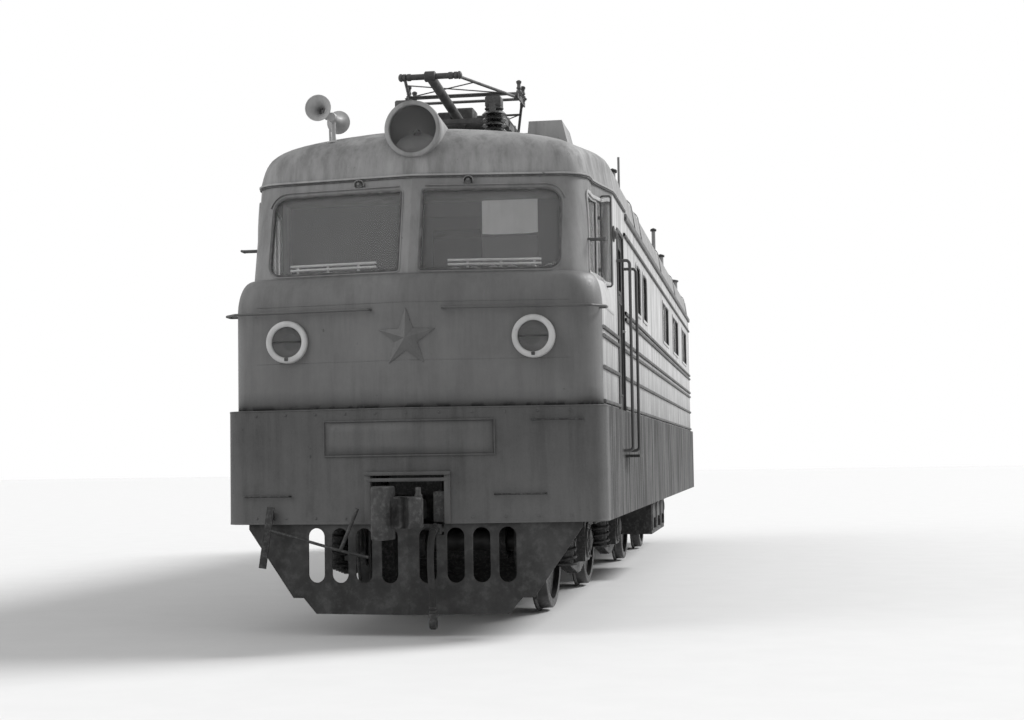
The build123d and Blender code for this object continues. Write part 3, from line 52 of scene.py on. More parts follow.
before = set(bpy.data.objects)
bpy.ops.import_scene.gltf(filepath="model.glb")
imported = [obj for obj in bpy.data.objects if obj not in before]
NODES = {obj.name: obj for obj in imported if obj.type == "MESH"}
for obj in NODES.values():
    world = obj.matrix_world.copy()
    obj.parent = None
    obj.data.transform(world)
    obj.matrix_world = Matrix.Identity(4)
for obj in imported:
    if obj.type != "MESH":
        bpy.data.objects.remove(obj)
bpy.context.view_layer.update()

# Rail head above the flange tips, both ends of the body, slope of each half of the raked front
RAIL = 0.028
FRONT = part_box("front_apron")[0].y
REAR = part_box("rear_apron")[1].y
RAKE = 0.1486
# Half widths of the walls, of the windscreen band and over the skirts
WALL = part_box("cab_nose")[1].x
BAND = 1.42
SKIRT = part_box("skirts")[1].x
# How far each part of the front stands behind the apron
NOSE_SET_BACK = 0.030
BAND_SET_BACK = 0.135
GUTTER_SET_BACK = 0.360
# Heights above the rail head, and how far the windscreens lean back for each metre up
BELT = 2.90
GUTTER = 3.73
LEAN = (GUTTER_SET_BACK - BAND_SET_BACK) / (GUTTER - BELT)
# Radius of the cab's corners, and how far they reach along each face
CORNER = 0.28
CORNER_REACH = CORNER * math.tan((np.pi / 2 - math.atan(RAKE)) / 2)
# Behind the apron: the rear of the cab roof, and the taper from the band out to the walls
BACK_OF_CAB = 2.8
TAPER_START, TAPER_END = 1.0, 1.6
LAMP_X, LAMP_HEIGHT = 1.02, 2.36
# Usual corner of a small section
EDGE = 0.004
X, Y, Z = np.eye(3)
SIDES = (-1, 1)
ENDS = (("front", -1), ("rear", 1))


def back(distance):
    """Y of a place this far behind the front of the apron."""
    return FRONT + distance


def above(height):
    """Z of a place this far above the rail head."""
    return RAIL + height


def spot(x, depth, height):
    """The place at this X, this far behind the apron and this far above the rail head."""
    return np.array([x, back(depth), above(height)])


def face_y(x, set_back):
    """Y of the raked front at this X, for a face this far behind the apron."""
    return back(set_back) + np.abs(x) * RAKE


def points_of(*coordinates):
    """Points from arrays of their coordinates; a single number holds for all of them."""
    return np.stack(np.broadcast_arrays(*coordinates), axis=-1)


def raked(x, set_back, proud, height):
    """Points at these X on the raked front, standing proud of it, all at one height."""
    return points_of(x, face_y(x, set_back) - proud, above(height))


def band_y(x, z):
    """Y of the leaning windscreen face: the raked front, further back with height above the belt."""
    return face_y(x, BAND_SET_BACK) + LEAN * (z - above(BELT))


def band_x(y, z):
    """X of the band's right side: round corner, straight run, then a taper out to the wall."""
    depth = y - FRONT
    tangent = BAND_SET_BACK + LEAN * (z - above(BELT)) + BAND * RAKE + CORNER_REACH
    inside = np.clip(tangent - depth, 0, CORNER)
    taper = np.clip((depth - TAPER_START) / (TAPER_END - TAPER_START), 0, 1) * (WALL - BAND)
    return BAND + taper - CORNER + np.sqrt(CORNER ** 2 - inside ** 2)


# Shapes: each is its points and a list of arrays of face indices


def grid(points, close_rows=False, close_columns=False):
    """A grid of points (rows, columns, 3) as quads between neighbouring rows and columns."""
    rows, columns = points.shape[:2]
    index = np.arange(rows * columns).reshape(rows, columns)
    if close_rows:
        index = np.vstack([index, index[:1]])
    if close_columns:
        index = np.hstack([index, index[:, :1]])
    corners = [index[:-1, :-1], index[:-1, 1:], index[1:, 1:], index[1:, :-1]]
    return points.reshape(-1, 3), [np.stack(corners, axis=-1).reshape(-1, 4)]


def together(shapes):
    """Several shapes as one."""
    points, faces, start = [], [], 0
    for shape_points, shape_faces in shapes:
        points.append(shape_points)
        faces += [face + start for face in shape_faces]
        start += len(shape_points)
    return np.concatenate(points), faces


def mirrored(shape):
    """A shape reflected in the plane X = 0."""
    points, faces = shape
    return points * [-1, 1, 1], [face[:, ::-1] for face in faces]


def circle(radius, turns):
    """Profile: radius times cosine and sine of an angle that goes once round."""
    angle = np.linspace(0, 2 * np.pi, turns, endpoint=False)
    return radius * points_of(np.cos(angle), np.sin(angle))


def rounded(width, height, radii=EDGE, steps=3):
    """Closed outline of a rectangle about the origin, each corner a quarter circle.

    radii: one for all, or right top, left top, left bottom, right bottom.
    """
    signs = np.array([[1, 1], [-1, 1], [-1, -1], [1, -1]])
    arcs = []
    for corner, (sign, radius) in enumerate(zip(signs, np.broadcast_to(radii, 4))):
        angle = np.linspace(0, np.pi / 2, steps) + corner * np.pi / 2
        centre = sign * (np.array([width, height]) / 2 - radius)
        arcs.append(centre + radius * points_of(np.cos(angle), np.sin(angle)))
    return np.concatenate(arcs)


def denser(outline, most):
    """A closed outline with its long runs divided evenly, none longer than most."""
    way = np.roll(outline, -1, axis=0) - outline
    counts = np.maximum(1, np.ceil(np.linalg.norm(way, axis=1) / most).astype(int))
    number = np.concatenate([np.arange(count) for count in counts])
    step = np.repeat(way / counts[:, None], counts, axis=0)
    return np.repeat(outline, counts, axis=0) + step * number[:, None]


def level(outline, z):
    """An outline of X and Y laid at one Z."""
    return points_of(outline[:, 0], outline[:, 1], z)


def unit(vectors):
    """Vectors over their own length."""
    vectors = np.asarray(vectors, float)
    return vectors / np.maximum(np.linalg.norm(vectors, axis=-1, keepdims=True), 1e-9)


def spokes(axis, turns):
    """The unit axis, and directions square to it, evenly round it."""
    axis = unit(axis)
    first = unit(np.cross(axis, X if abs(axis[0]) < 0.9 else Y))
    second = np.cross(axis, first)
    angle = np.linspace(0, 2 * np.pi, turns, endpoint=False)
    return axis, np.cos(angle)[:, None] * first + np.sin(angle)[:, None] * second


def carried(profile, path, up, scale=1.0, closed=False):
    """A closed profile carried along a path.

    At each station the profile's first axis is tangent x up and its second is square to
    both; scale multiplies the profile there. An open path gets a flat cap at each end.
    """
    path = np.asarray(path, float)
    if closed:
        ahead = np.roll(path, -1, axis=0) - np.roll(path, 1, axis=0)
    else:
        ahead = np.gradient(path, axis=0)
    tangent = unit(ahead)
    side = unit(np.cross(tangent, up))
    lift = np.cross(side, tangent)
    factor = np.broadcast_to(scale, len(path))[:, None, None]
    across = profile[None, :, 0, None] * side[:, None] * factor
    along = profile[None, :, 1, None] * lift[:, None] * factor
    points, faces = grid(path[:, None] + across + along, close_rows=closed, close_columns=True)
    if not closed:
        first = np.arange(len(profile))[None, ::-1]
        faces += [first, first[:, ::-1] + len(points) - len(profile)]
    return points, faces


def lathe(profile, centre, axis, turns=24):
    """A profile of (along, radius) pairs turned round an axis through a centre."""
    axis, spoke = spokes(axis, turns)
    profile = np.asarray(profile, float)
    points = profile[:, None, 0, None] * axis + profile[:, None, 1, None] * spoke[None]
    return grid(np.asarray(centre, float) + points, close_columns=True)


def tube(path, radius, up=Z, turns=8):
    """A round bar: a circle carried along a path."""
    return carried(circle(radius, turns), path, up)


def bar(start, finish, width, height, up=Z, corner=EDGE):
    """A straight bar with a rounded rectangle profile, drawn in a little at both ends."""
    start, finish = np.asarray(start, float), np.asarray(finish, float)
    way = unit(finish - start)
    if abs(way @ unit(up)) > 0.9:
        up = X
    path = np.array([start, start + way * corner, finish - way * corner, finish])
    inner = 1 - 2 * corner / min(width, height) * 0.7
    return carried(rounded(width, height, corner), path, up, [inner, 1, 1, inner])


def smooth_path(corners, radius, steps):
    """A path through corners, each rounded by a quadratic curve that starts a radius away."""
    corners = np.asarray(corners, float)
    share = np.linspace(0, 1, steps)[:, None]
    pieces = [corners[:1]]
    for before, at, after in zip(corners, corners[1:], corners[2:]):
        enter = at + unit(before - at) * min(radius, np.linalg.norm(before - at) / 2)
        leave = at + unit(after - at) * min(radius, np.linalg.norm(after - at) / 2)
        pieces.append((1 - share) ** 2 * enter + 2 * share * (1 - share) * at + share ** 2 * leave)
    pieces.append(corners[-1:])
    return np.concatenate(pieces)


def bent(corners, bend, radius, up=Z, turns=8, steps=5):
    """A round bar along a path whose corners are rounded, each from this far away."""
    return tube(smooth_path(corners, bend, steps), radius, up, turns)


def dish(start, depth, radius, count):
    """Profile of a shallow dish from its rim in: the depth falls with the square of the radius."""
    share = np.linspace(1, 0, count)
    return points_of(start + depth * (1 - share ** 2), radius * share)


def cap(depth, radius, count):
    """Profile of a domed end from its rim out: a quarter ellipse."""
    angle = np.linspace(0, np.pi / 2, count)
    return points_of(depth * np.sin(angle), radius * np.cos(angle))


def domes(places, normal, radius):
    """Bolt heads: a six-sided dome of two rings and a tip at each place, pointing along a normal."""
    normal, spoke = spokes(normal, 6)
    height = radius * 0.6
    head = np.concatenate([spoke * radius - normal * height * 0.5, spoke * radius + normal * height * 0.6,
                           spoke * radius * 0.6 + normal * height])
    points = (places[:, None] + head[None]).reshape(-1, 3)
    ring = np.arange(6)
    after = (ring + 1) % 6
    quads = np.concatenate([np.stack([ring, after, after + 6, ring + 6], axis=1),
                            np.stack([ring + 6, after + 6, after + 12, ring + 12], axis=1)])
    start = (np.arange(len(places)) * 18)[:, None, None]
    return points, [(quads[None] + start).reshape(-1, 4), (ring[None, None] + 12 + start).reshape(-1, 6),
                    (ring[None, None, ::-1] + start).reshape(-1, 6)]


def ring_on(outline, centre, across, rise, profile):
    """A profile carried round a closed outline that lies in the plane of two directions."""
    path = np.asarray(centre) + outline[:, :1] * np.asarray(across) + outline[:, 1:] * np.asarray(rise)
    return carried(profile, path, np.cross(across, rise), closed=True)


def panel(corner, across, rise):
    """A flat panel: a corner, and the corner moved by one side, by the other and by both."""
    return grid(np.array([[corner, corner + across], [corner + rise, corner + across + rise]]))


# Pieces

# Materials by the name of their finish
MATERIALS = {}


def add_piece(name, shape, finish, body="carbody", replaces=(), pair=False, sharp=38.0,
              solidify=0.0, keep_faces=False):
    """One mesh from a shape or a list of shapes, doubles merged, riding on its body.

    A pair has a mirrored half. Faces are turned outwards, but not on a thin wall or a kept one.
    """
    if isinstance(shape, list):
        shape = together(shape)
    if pair:
        shape = together([shape, mirrored(shape)])
    points, faces = shape
    mesh = bpy.data.meshes.new(name)
    mesh.from_pydata(points.tolist(), [], [face for block in faces for face in block.tolist()])
    work = bmesh.new()
    work.from_mesh(mesh)
    bmesh.ops.remove_doubles(work, verts=work.verts, dist=1e-5)
    bmesh.ops.dissolve_degenerate(work, edges=work.edges, dist=1e-6)
    if not (solidify or keep_faces):
        bmesh.ops.recalc_face_normals(work, faces=work.faces)
    work.to_mesh(mesh)
    work.free()
    piece = bpy.data.objects.new(name, mesh)
    bpy.context.scene.collection.objects.link(piece)
    mesh.shade_smooth()
    mesh.set_sharp_from_angle(angle=math.radians(sharp))
    if solidify:
        wall = piece.modifiers.new("Wall", "SOLIDIFY")
        wall.thickness = solidify
        wall.offset = -1
    mesh.materials.append(MATERIALS[finish])
    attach(piece, body)
    if replaces:
        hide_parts(*replaces)
    return piece


def dress(material, *names):
    """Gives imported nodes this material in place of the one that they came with."""
    for name in names:
        slots = NODES[name].material_slots
        for slot in slots:
            slot.material = material
        if not slots:
            NODES[name].data.materials.append(material)


# Materials


def new_material(name):
    """A material with its node tree and its Principled shader."""
    material = bpy.data.materials.new(name)
    material.use_nodes = True
    return material, material.node_tree, material.node_tree.nodes["Principled BSDF"]


def plug(tree, value, socket):
    """Links a socket into another one, or sets a plain value there."""
    if isinstance(value, bpy.types.NodeSocket):
        tree.links.new(value, socket)
    else:
        socket.default_value = value


def feed(tree, node, **inputs):
    """Links or sets inputs of a node by name, with an underscore for each blank."""
    for key, value in inputs.items():
        plug(tree, value, node.inputs[key.replace("_", " ")])
    return node


def add_node(tree, kind, settings=None, **inputs):
    """A node of this kind, with settings as attributes and inputs by name."""
    node = tree.nodes.new(kind)
    for key, value in (settings or {}).items():
        setattr(node, key, value)
    return feed(tree, node, **inputs)


def place_of(tree):
    """The shaded point in Object coordinates."""
    return add_node(tree, "ShaderNodeTexCoord").outputs["Object"]


def noise(tree, scale, detail, roughness, stretch=(1, 1, 1)):
    """Noise on Object coordinates, stretched by a Mapping node. Gives its factor socket."""
    mapping = add_node(tree, "ShaderNodeMapping", Vector=place_of(tree), Scale=stretch)
    return add_node(tree, "ShaderNodeTexNoise", Vector=mapping.outputs["Vector"], Scale=scale,
                    Detail=detail, Roughness=roughness).outputs["Fac"]


def between(tree, value, low, high, out_low=0.0, out_high=1.0):
    """A value mapped smoothly from one range to another, clamped."""
    return add_node(tree, "ShaderNodeMapRange", {"interpolation_type": "SMOOTHSTEP"}, Value=value,
                    From_Min=low, From_Max=high, To_Min=out_low, To_Max=out_high).outputs["Result"]


def maths(tree, operation, first, second):
    """A Math node on two values or sockets, clamped to 0 and 1."""
    node = add_node(tree, "ShaderNodeMath", {"operation": operation, "use_clamp": True})
    plug(tree, first, node.inputs[0])
    plug(tree, second, node.inputs[1])
    return node.outputs["Value"]


def times(tree, first, second):
    """Two values or sockets multiplied."""
    return maths(tree, "MULTIPLY", first, second)


def mixed(tree, factor, first, second):
    """Two colours mixed by a factor socket."""
    node = add_node(tree, "ShaderNodeMix", {"data_type": "RGBA"}, Factor=factor)
    colours = [socket for socket in node.inputs if socket.type == "RGBA"]
    plug(tree, first, colours[0])
    plug(tree, second, colours[1])
    return [socket for socket in node.outputs if socket.type == "RGBA"][0]


def grey(value):
    """A neutral colour of this linear value."""
    return (value, value, value, 1.0)


def shade(colour, factor):
    """A colour times a factor, opaque."""
    return (colour[0] * factor, colour[1] * factor, colour[2] * factor, 1.0)


def toned(tree, factor, colour, dark, light):
    """A mix of two shades of one colour by a factor socket."""
    return mixed(tree, factor, shade(colour, dark), shade(colour, light))


def bump(tree, shader, height, strength, distance):
    """A Bump node from a height socket into the shader's normal."""
    node = add_node(tree, "ShaderNodeBump", Height=height, Strength=strength, Distance=distance)
    feed(tree, shader, Normal=node.outputs["Normal"])


# Settled dust on paint and on steel
PAINT_DUST = grey(0.13)
STEEL_DUST = grey(0.11)


def weathered_paint(name, colour, streaks, dust, dust_top, chips, roughness, ledge=None, waviness=0.25,
                    dust_low=0.5, rear=None):
    """Old paint: mottled tone, vertical dirt streaks, dust that thickens downwards, and dark chips.

    Dark blobs lie just above a ledge, if one is named by its height. Behind the distance
    named in rear, the paint has the colour named there: on the nose, the lighter wall colour
    stands in for the light on its side, painted light.
    """
    material, tree, shader = new_material(name)
    mottle = noise(tree, 1.7, 5, 0.65)
    run = noise(tree, 5.0, 6, 0.7, (1.6, 1.6, 0.16))
    fine = noise(tree, 60.0, 3, 0.7)
    tone = between(tree, mottle, 0.3, 0.7)
    base = toned(tree, tone, colour, 0.86, 1.12)
    dirt = times(tree, between(tree, run, 0.42, 0.68), streaks)
    base = mixed(tree, dirt, base, shade(colour, 0.45))
    pale = times(tree, between(tree, run, 0.46, 0.30), streaks * 0.5)
    base = mixed(tree, pale, base, shade(colour, 1.55))
    place = add_node(tree, "ShaderNodeSeparateXYZ", Vector=place_of(tree)).outputs
    # On the nose the front keeps its dark paint, painted shade, and behind its corner the side turns to the
    # lighter wall colour, painted light.
    if rear:
        distance, other = rear
        behind = between(tree, place["Y"], back(distance - 0.01), back(distance + 0.01))
        lit_side_tone = toned(tree, tone, other, 0.86, 1.12)
        base = mixed(tree, behind, base, mixed(tree, dirt, lit_side_tone, shade(other, 0.45)))
    low = between(tree, place["Z"], above(dust_top), above(dust_low))
    cover = times(tree, times(tree, low, dust), between(tree, mottle, 0.1, 0.6))
    base = mixed(tree, cover, base, PAINT_DUST)
    spots = between(tree, noise(tree, 9.0, 8, 0.75), chips, chips + 0.04)
    base = mixed(tree, times(tree, spots, 0.7), base, shade(colour, 0.30))
    if ledge:
        near = between(tree, place["Z"], above(ledge + 0.055), above(ledge + 0.005))
        blobs = between(tree, noise(tree, 7.0, 4, 0.6), 0.48, 0.56)
        base = mixed(tree, times(tree, near, blobs), base, shade(colour, 0.35))
    rough = between(tree, maths(tree, "ADD", dirt, fine), 0.2, 1.2, roughness - 0.08, roughness + 0.25)
    feed(tree, shader, Base_Color=base, Roughness=rough)
    soft = noise(tree, 1.3, 2, 0.4)
    relief = maths(tree, "ADD", times(tree, soft, 0.7), times(tree, fine, 0.04))
    bump(tree, shader, relief, waviness, 0.02)
    return material


def grimy_steel(name, colour, roughness=0.62, metallic=0.2, dust=0.5, grain=35.0, strength=0.3,
                spread=0.32):
    """Oily black steel under brown-grey dust that lies in large patches."""
    material, tree, shader = new_material(name)
    patches = noise(tree, 3.0, 6, 0.7)
    fine = noise(tree, grain, 4, 0.65)
    base = toned(tree, between(tree, patches, 0.3, 0.72), colour, 1 - spread, 1 + spread)
    settled = times(tree, between(tree, fine, 0.45, 0.7), dust)
    rough = between(tree, patches, 0.3, 0.7, roughness + 0.2, roughness - 0.12)
    feed(tree, shader, Base_Color=mixed(tree, settled, base, STEEL_DUST), Roughness=rough,
         Metallic=metallic)
    bump(tree, shader, fine, strength, 0.006)
    return material


def wheel_steel(name):
    """Dark dusty wheel steel in patches, with a fine grain."""
    material, tree, shader = new_material(name)
    fine = noise(tree, 40.0, 4, 0.6)
    patches = noise(tree, 5.0, 5, 0.7)
    feed(tree, shader, Base_Color=mixed(tree, between(tree, patches, 0.3, 0.7), grey(0.035), grey(0.085)),
         Roughness=between(tree, fine, 0.3, 0.7, 0.35, 0.7), Metallic=0.6)
    bump(tree, shader, fine, 0.15, 0.004)
    return material


def rubber(name, value):
    """Matt rubber with grey bloom."""
    material, tree, shader = new_material(name)
    bloom = between(tree, noise(tree, 14.0, 5, 0.7), 0.4, 0.75)
    feed(tree, shader, Base_Color=toned(tree, bloom, grey(value), 1, 2.6), Roughness=0.78)
    bump(tree, shader, noise(tree, 90.0, 3, 0.6), 0.2, 0.003)
    return material


def dusty_glass(name, tint=0.88, dust=0.10, clear=0.93):
    """Window glass: transmission under a thin pale film of dust."""
    material, tree, shader = new_material(name)
    film = noise(tree, 3.0, 6, 0.7, (1, 1, 0.5))
    feed(tree, shader, Base_Color=grey(tint), Transmission_Weight=clear, IOR=1.1,
         Roughness=between(tree, film, 0.35, 0.8, 0.0, 0.10 + dust))
    return material


def porcelain(name):
    """Dark glazed porcelain under patches of dust."""
    material, tree, shader = new_material(name)
    patches = noise(tree, 18.0, 5, 0.7)
    base = toned(tree, between(tree, patches, 0.42, 0.72), grey(0.035), 1, 3)
    feed(tree, shader, Base_Color=base, Roughness=between(tree, patches, 0.3, 0.7, 0.12, 0.5),
         Coat_Weight=0.5)
    return material


def leather(name):
    """Worn seat leather: cell grain, rubbed lighter patches."""
    material, tree, shader = new_material(name)
    cells = add_node(tree, "ShaderNodeTexVoronoi", Vector=place_of(tree), Scale=180.0)
    rubbed = between(tree, noise(tree, 9.0, 5, 0.7), 0.42, 0.75)
    feed(tree, shader, Base_Color=toned(tree, rubbed, grey(0.03), 1, 2.4), Roughness=0.5)
    bump(tree, shader, cells.outputs["Distance"], 0.25, 0.002)
    return material


def bright_metal(name, value=0.5, roughness=0.28):
    """Polished or plated metal with fine scratches."""
    material, tree, shader = new_material(name)
    scratch = noise(tree, 50.0, 4, 0.7, (1, 1, 6))
    feed(tree, shader, Base_Color=toned(tree, scratch, grey(value), 0.75, 1), Metallic=0.9,
         Roughness=between(tree, scratch, 0.3, 0.7, roughness, roughness + 0.25))
    return material


def make_materials(finish):
    """All finishes by name, from the colours of the finish settings."""
    body, apron, roof, dark = finish.body, finish.apron, finish.roof, grey(0.07)
    # Colour, streaks, dust, top of the dust, chips, roughness, ledge, waviness, foot of the dust, rear
    paints = {
        # Body, nose and band are kept far darker than the walls to stand in for the shade on the front:
        # painted shade.
        "body": (body, 0.30, 0.10, 1.9, 0.66, 0.50, 1.80),
        # The nose turns to the lighter wall colour behind its corner, for the light on its side: painted
        # light.
        "nose": (body, 0.25, 0.10, 1.9, 0.66, 0.50, 1.80, 0.25, 0.5, (0.54, finish.wall)),
        "star": (shade(body, 0.85), 0.3, 0.0, 1.9, 0.66, 0.45, None, 0.1),
        # Rib paint: dark to stand in for the shade along the wall ribs and in the door jambs, painted shade;
        # the side lamps take it too.
        "rib": (shade(body, 0.55), 0.3, 0.2, 1.9, 0.66, 0.50, None, 0.1),
        # Very dark to stand in for the shadow under the overhang of the side gutters: painted shadow.
        "shaded_gutter": (shade(roof, 0.30), 0.3, 0.0, 1.9, 0.66, 0.6, None, 0.1),
        "band": (finish.band, 0.30, 0.0, 1.9, 0.66, 0.50),
        "wall": (finish.wall, 0.60, 1.0, 2.9, 0.64, 0.42, None, 0.4, 1.60),
        # Door paint: kept dark to stand in for the shade on the recessed cab doors, painted shade; the
        # gangway door takes it too.
        "door": (shade(body, 0.40), 0.4, 0.3, 2.2, 0.64, 0.5),
        "apron": (apron, 0.35, 0.55, 1.9, 0.64, 0.62),
        "plate": (shade(apron, 1.3), 0.3, 0.3, 1.9, 0.66, 0.55, None, 0.1),
        "skirt": (finish.skirt, 1.0, 0.20, 1.5, 0.64, 0.5, None, 0.4),
        "roof": (roof, 0.50, 0.0, 1.0, 0.64, 0.72, None, 0.3),
        "trim": (finish.trim, 0.3, 0.2, 1.9, 0.66, 0.5, None, 0.1),
        "interior": (dark, 0.2, 0.1, 1.9, 0.7, 0.6, None, 0.1),
        "machine": (grey(0.15), 0.2, 0.2, 1.9, 0.7, 0.6, None, 0.1),
        # Drip rail paint: lighter than the roof to stand in for the light along the rail: painted light.
        "lip": (shade(roof, 1.15), 0.3, 0.0, 1.0, 0.62, 0.6, None, 0.1),
        "rail": (dark, 0.2, 0.2, 1.9, 0.7, 0.5, None, 0.1),
        "horn": (grey(0.36), 0.3, 0.0, 1.9, 0.66, 0.45, None, 0.1),
        "pale": (grey(0.62), 0.2, 0.0, 1.9, 0.7, 0.5, None, 0.05),
    }
    names = {"interior": "cab_interior", "lip": "lit_drip_rail_paint", "pale": "glowing_door_leaf_paint"}
    for key, paint in paints.items():
        MATERIALS[key] = weathered_paint(names.get(key, f"{key}_paint"), *paint)
    MATERIALS.update({
        "black": grimy_steel("underframe_black", grey(0.022)),
        "bogie": grimy_steel("bogie_black", grey(0.028), dust=0.7),
        "cast": grimy_steel("cast_steel", grey(0.035), 0.6, 0.35, 0.6, 22.0, 0.6),
        "plow": grimy_steel("plow_black", grey(0.027), 0.7, 0.1, 0.20, 12.0, 0.3, 0.14),
        "panto": grimy_steel("pantograph_paint", grey(0.06), 0.6, 0.3, 0.4, 30.0, 0.2),
        "wheel": wheel_steel("wheel_steel"),
        "rubber": rubber("hose_rubber", 0.012),
        "bellows": rubber("bellows_rubber", 0.035),
        "seal": rubber("window_seal", 0.018),
        "grey_seal": rubber("windscreen_seal", 0.055),
        "glass": dusty_glass("window_glass"),
        "lens": dusty_glass("lamp_lens", 0.70, 0.05, 0.97),
        "porcelain": porcelain("insulator_glaze"),
        "contact": bright_metal("contact_copper", 0.30, 0.35),
        "bright": bright_metal("bright_metal"),
        "lamp_bowl": bright_metal("lamp_bowl", 0.24, 0.45),
        "leather": leather("seat_leather"),
    })
    for key, inputs in (("skirt", {"Specular_IOR_Level": 0.15}), ("door", {"Specular_IOR_Level": 0.15}),
                        ("rib", {"Specular_IOR_Level": 0.15}),
                        # The door leaf panel also glows faintly, though it is no lamp: painted light.
                        ("pale", {"Emission_Color": grey(1.0), "Emission_Strength": 0.10})):
        tree = MATERIALS[key].node_tree
        feed(tree, tree.nodes["Principled BSDF"], **inputs)


def dress_nodes():
    """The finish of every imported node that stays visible."""
    chosen = {
        "body": ["cab_nose", "end_wall", "wind_deflectors", "headlight"],
        "band": ["cab_window_band"],
        "wall": ["wall_left", "wall_right"],
        "door": ["cab_door_left", "cab_door_right", "gangway_door"],
        "apron": ["front_apron", "rear_apron"],
        "skirt": ["skirts"],
        "roof": ["cab_roof", "main_roof", "roof_hatches", "roof_fittings"],
        "trim": ["marker_lamps", "front_star", "number_plate"],
        "rail": ["handrails"],
        "interior": ["bulkheads", "driver_desk"],
        "machine": ["transformer", "machine_cabinets"],
        "black": ["underframe", "door_steps", "uncoupling_lever", "hose_cocks", "battery_boxes",
                  "air_reservoirs"],
        "bogie": [f"{kind}_{end}" for kind in ("bogie_frame", "running_gear", "traction_motors")
                  for end in dict(ENDS)],
        "cast": ["coupler_front", "coupler_rear", "hose_heads", "horns"],
        "plow": ["plow"],
        "wheel": [f"wheelset_{number}" for number in (1, 2, 3, 4)],
        "rubber": ["brake_hose_front", "brake_hose_rear"],
        "bellows": ["gangway_bellows"],
        "glass": ["glazing"],
        "porcelain": ["pantograph_insulators", "high_voltage_gear"],
        "panto": ["pantograph_base", "pantograph_arm_front", "pantograph_arm_rear",
                  "pantograph_frame_front", "pantograph_frame_rear", "pantograph_head"],
        "leather": ["cab_seats"],
    }
    for key, names in chosen.items():
        dress(MATERIALS[key], *names)


# Settings


class FinishSettings(PropertyGroup):
    """Colours of the paints, as linear values."""
    # Body and band are kept far darker than the walls to stand in for the shade on the front: painted shade.
    body: FloatVectorProperty(name="Body", description="Paint of the cab front", subtype="COLOR", size=4,
                              default=grey(0.11))
    band: FloatVectorProperty(name="Band", description="Paint round the windscreens", subtype="COLOR",
                              size=4, default=grey(0.165))
    wall: FloatVectorProperty(name="Side walls", description="Paint of the side walls", subtype="COLOR",
                              size=4, default=grey(0.42))
    apron: FloatVectorProperty(name="Apron", description="Paint of the lower front", subtype="COLOR",
                               size=4, default=grey(0.060))
    skirt: FloatVectorProperty(name="Skirts", description="Paint of the side skirts", subtype="COLOR",
                               size=4, default=grey(0.042))
    roof: FloatVectorProperty(name="Roof", description="Paint of the roof", subtype="COLOR", size=4,
                              default=grey(0.26))
    trim: FloatVectorProperty(name="Trim", description="Paint of rails and lamp rings", subtype="COLOR",
                              size=4, default=grey(0.46))


class CameraSettings(PropertyGroup):
    """Where the photograph was taken from."""
    place: FloatVectorProperty(name="Place", description="Camera position", subtype="XYZ", unit="LENGTH",
                               default=(2.88, -20.56, 1.398))
    lens: FloatProperty(name="Lens", description="Focal length on a 36 mm sensor, in mm", default=58.25)
    yaw: FloatProperty(name="Yaw", description="Turn towards -X", subtype="ANGLE",
                       default=math.radians(8.83))
    pitch: FloatProperty(name="Pitch", description="Tilt upwards", subtype="ANGLE",
                         default=math.radians(3.45))
    roll: FloatProperty(name="Roll", description="Turn about the view axis", subtype="ANGLE",
                        default=math.radians(-0.88))


class StageSettings(PropertyGroup):
    """Floor and lights."""
    floor_half: FloatProperty(name="Floor", description="Half size of the floor", unit="LENGTH",
                              default=160.0)
    key: FloatProperty(name="Key", description="Strength of the light from the right", default=3.4)
    front: FloatProperty(name="Front", description="Strength of the light from the front", default=0.80)
    fill: FloatProperty(name="Fill", description="Strength of the world light", default=0.5)


class BoltSettings(PropertyGroup):
    """Small repeated fasteners."""
    radius: FloatProperty(name="Bolt radius", description="Radius of a bolt head", unit="LENGTH",
                          default=0.012)
    pitch: FloatProperty(name="Bolt pitch", description="Distance between bolts", unit="LENGTH",
                         default=0.22)
    turns: IntProperty(name="Round", description="Faces round a lamp", default=56)


# Stage


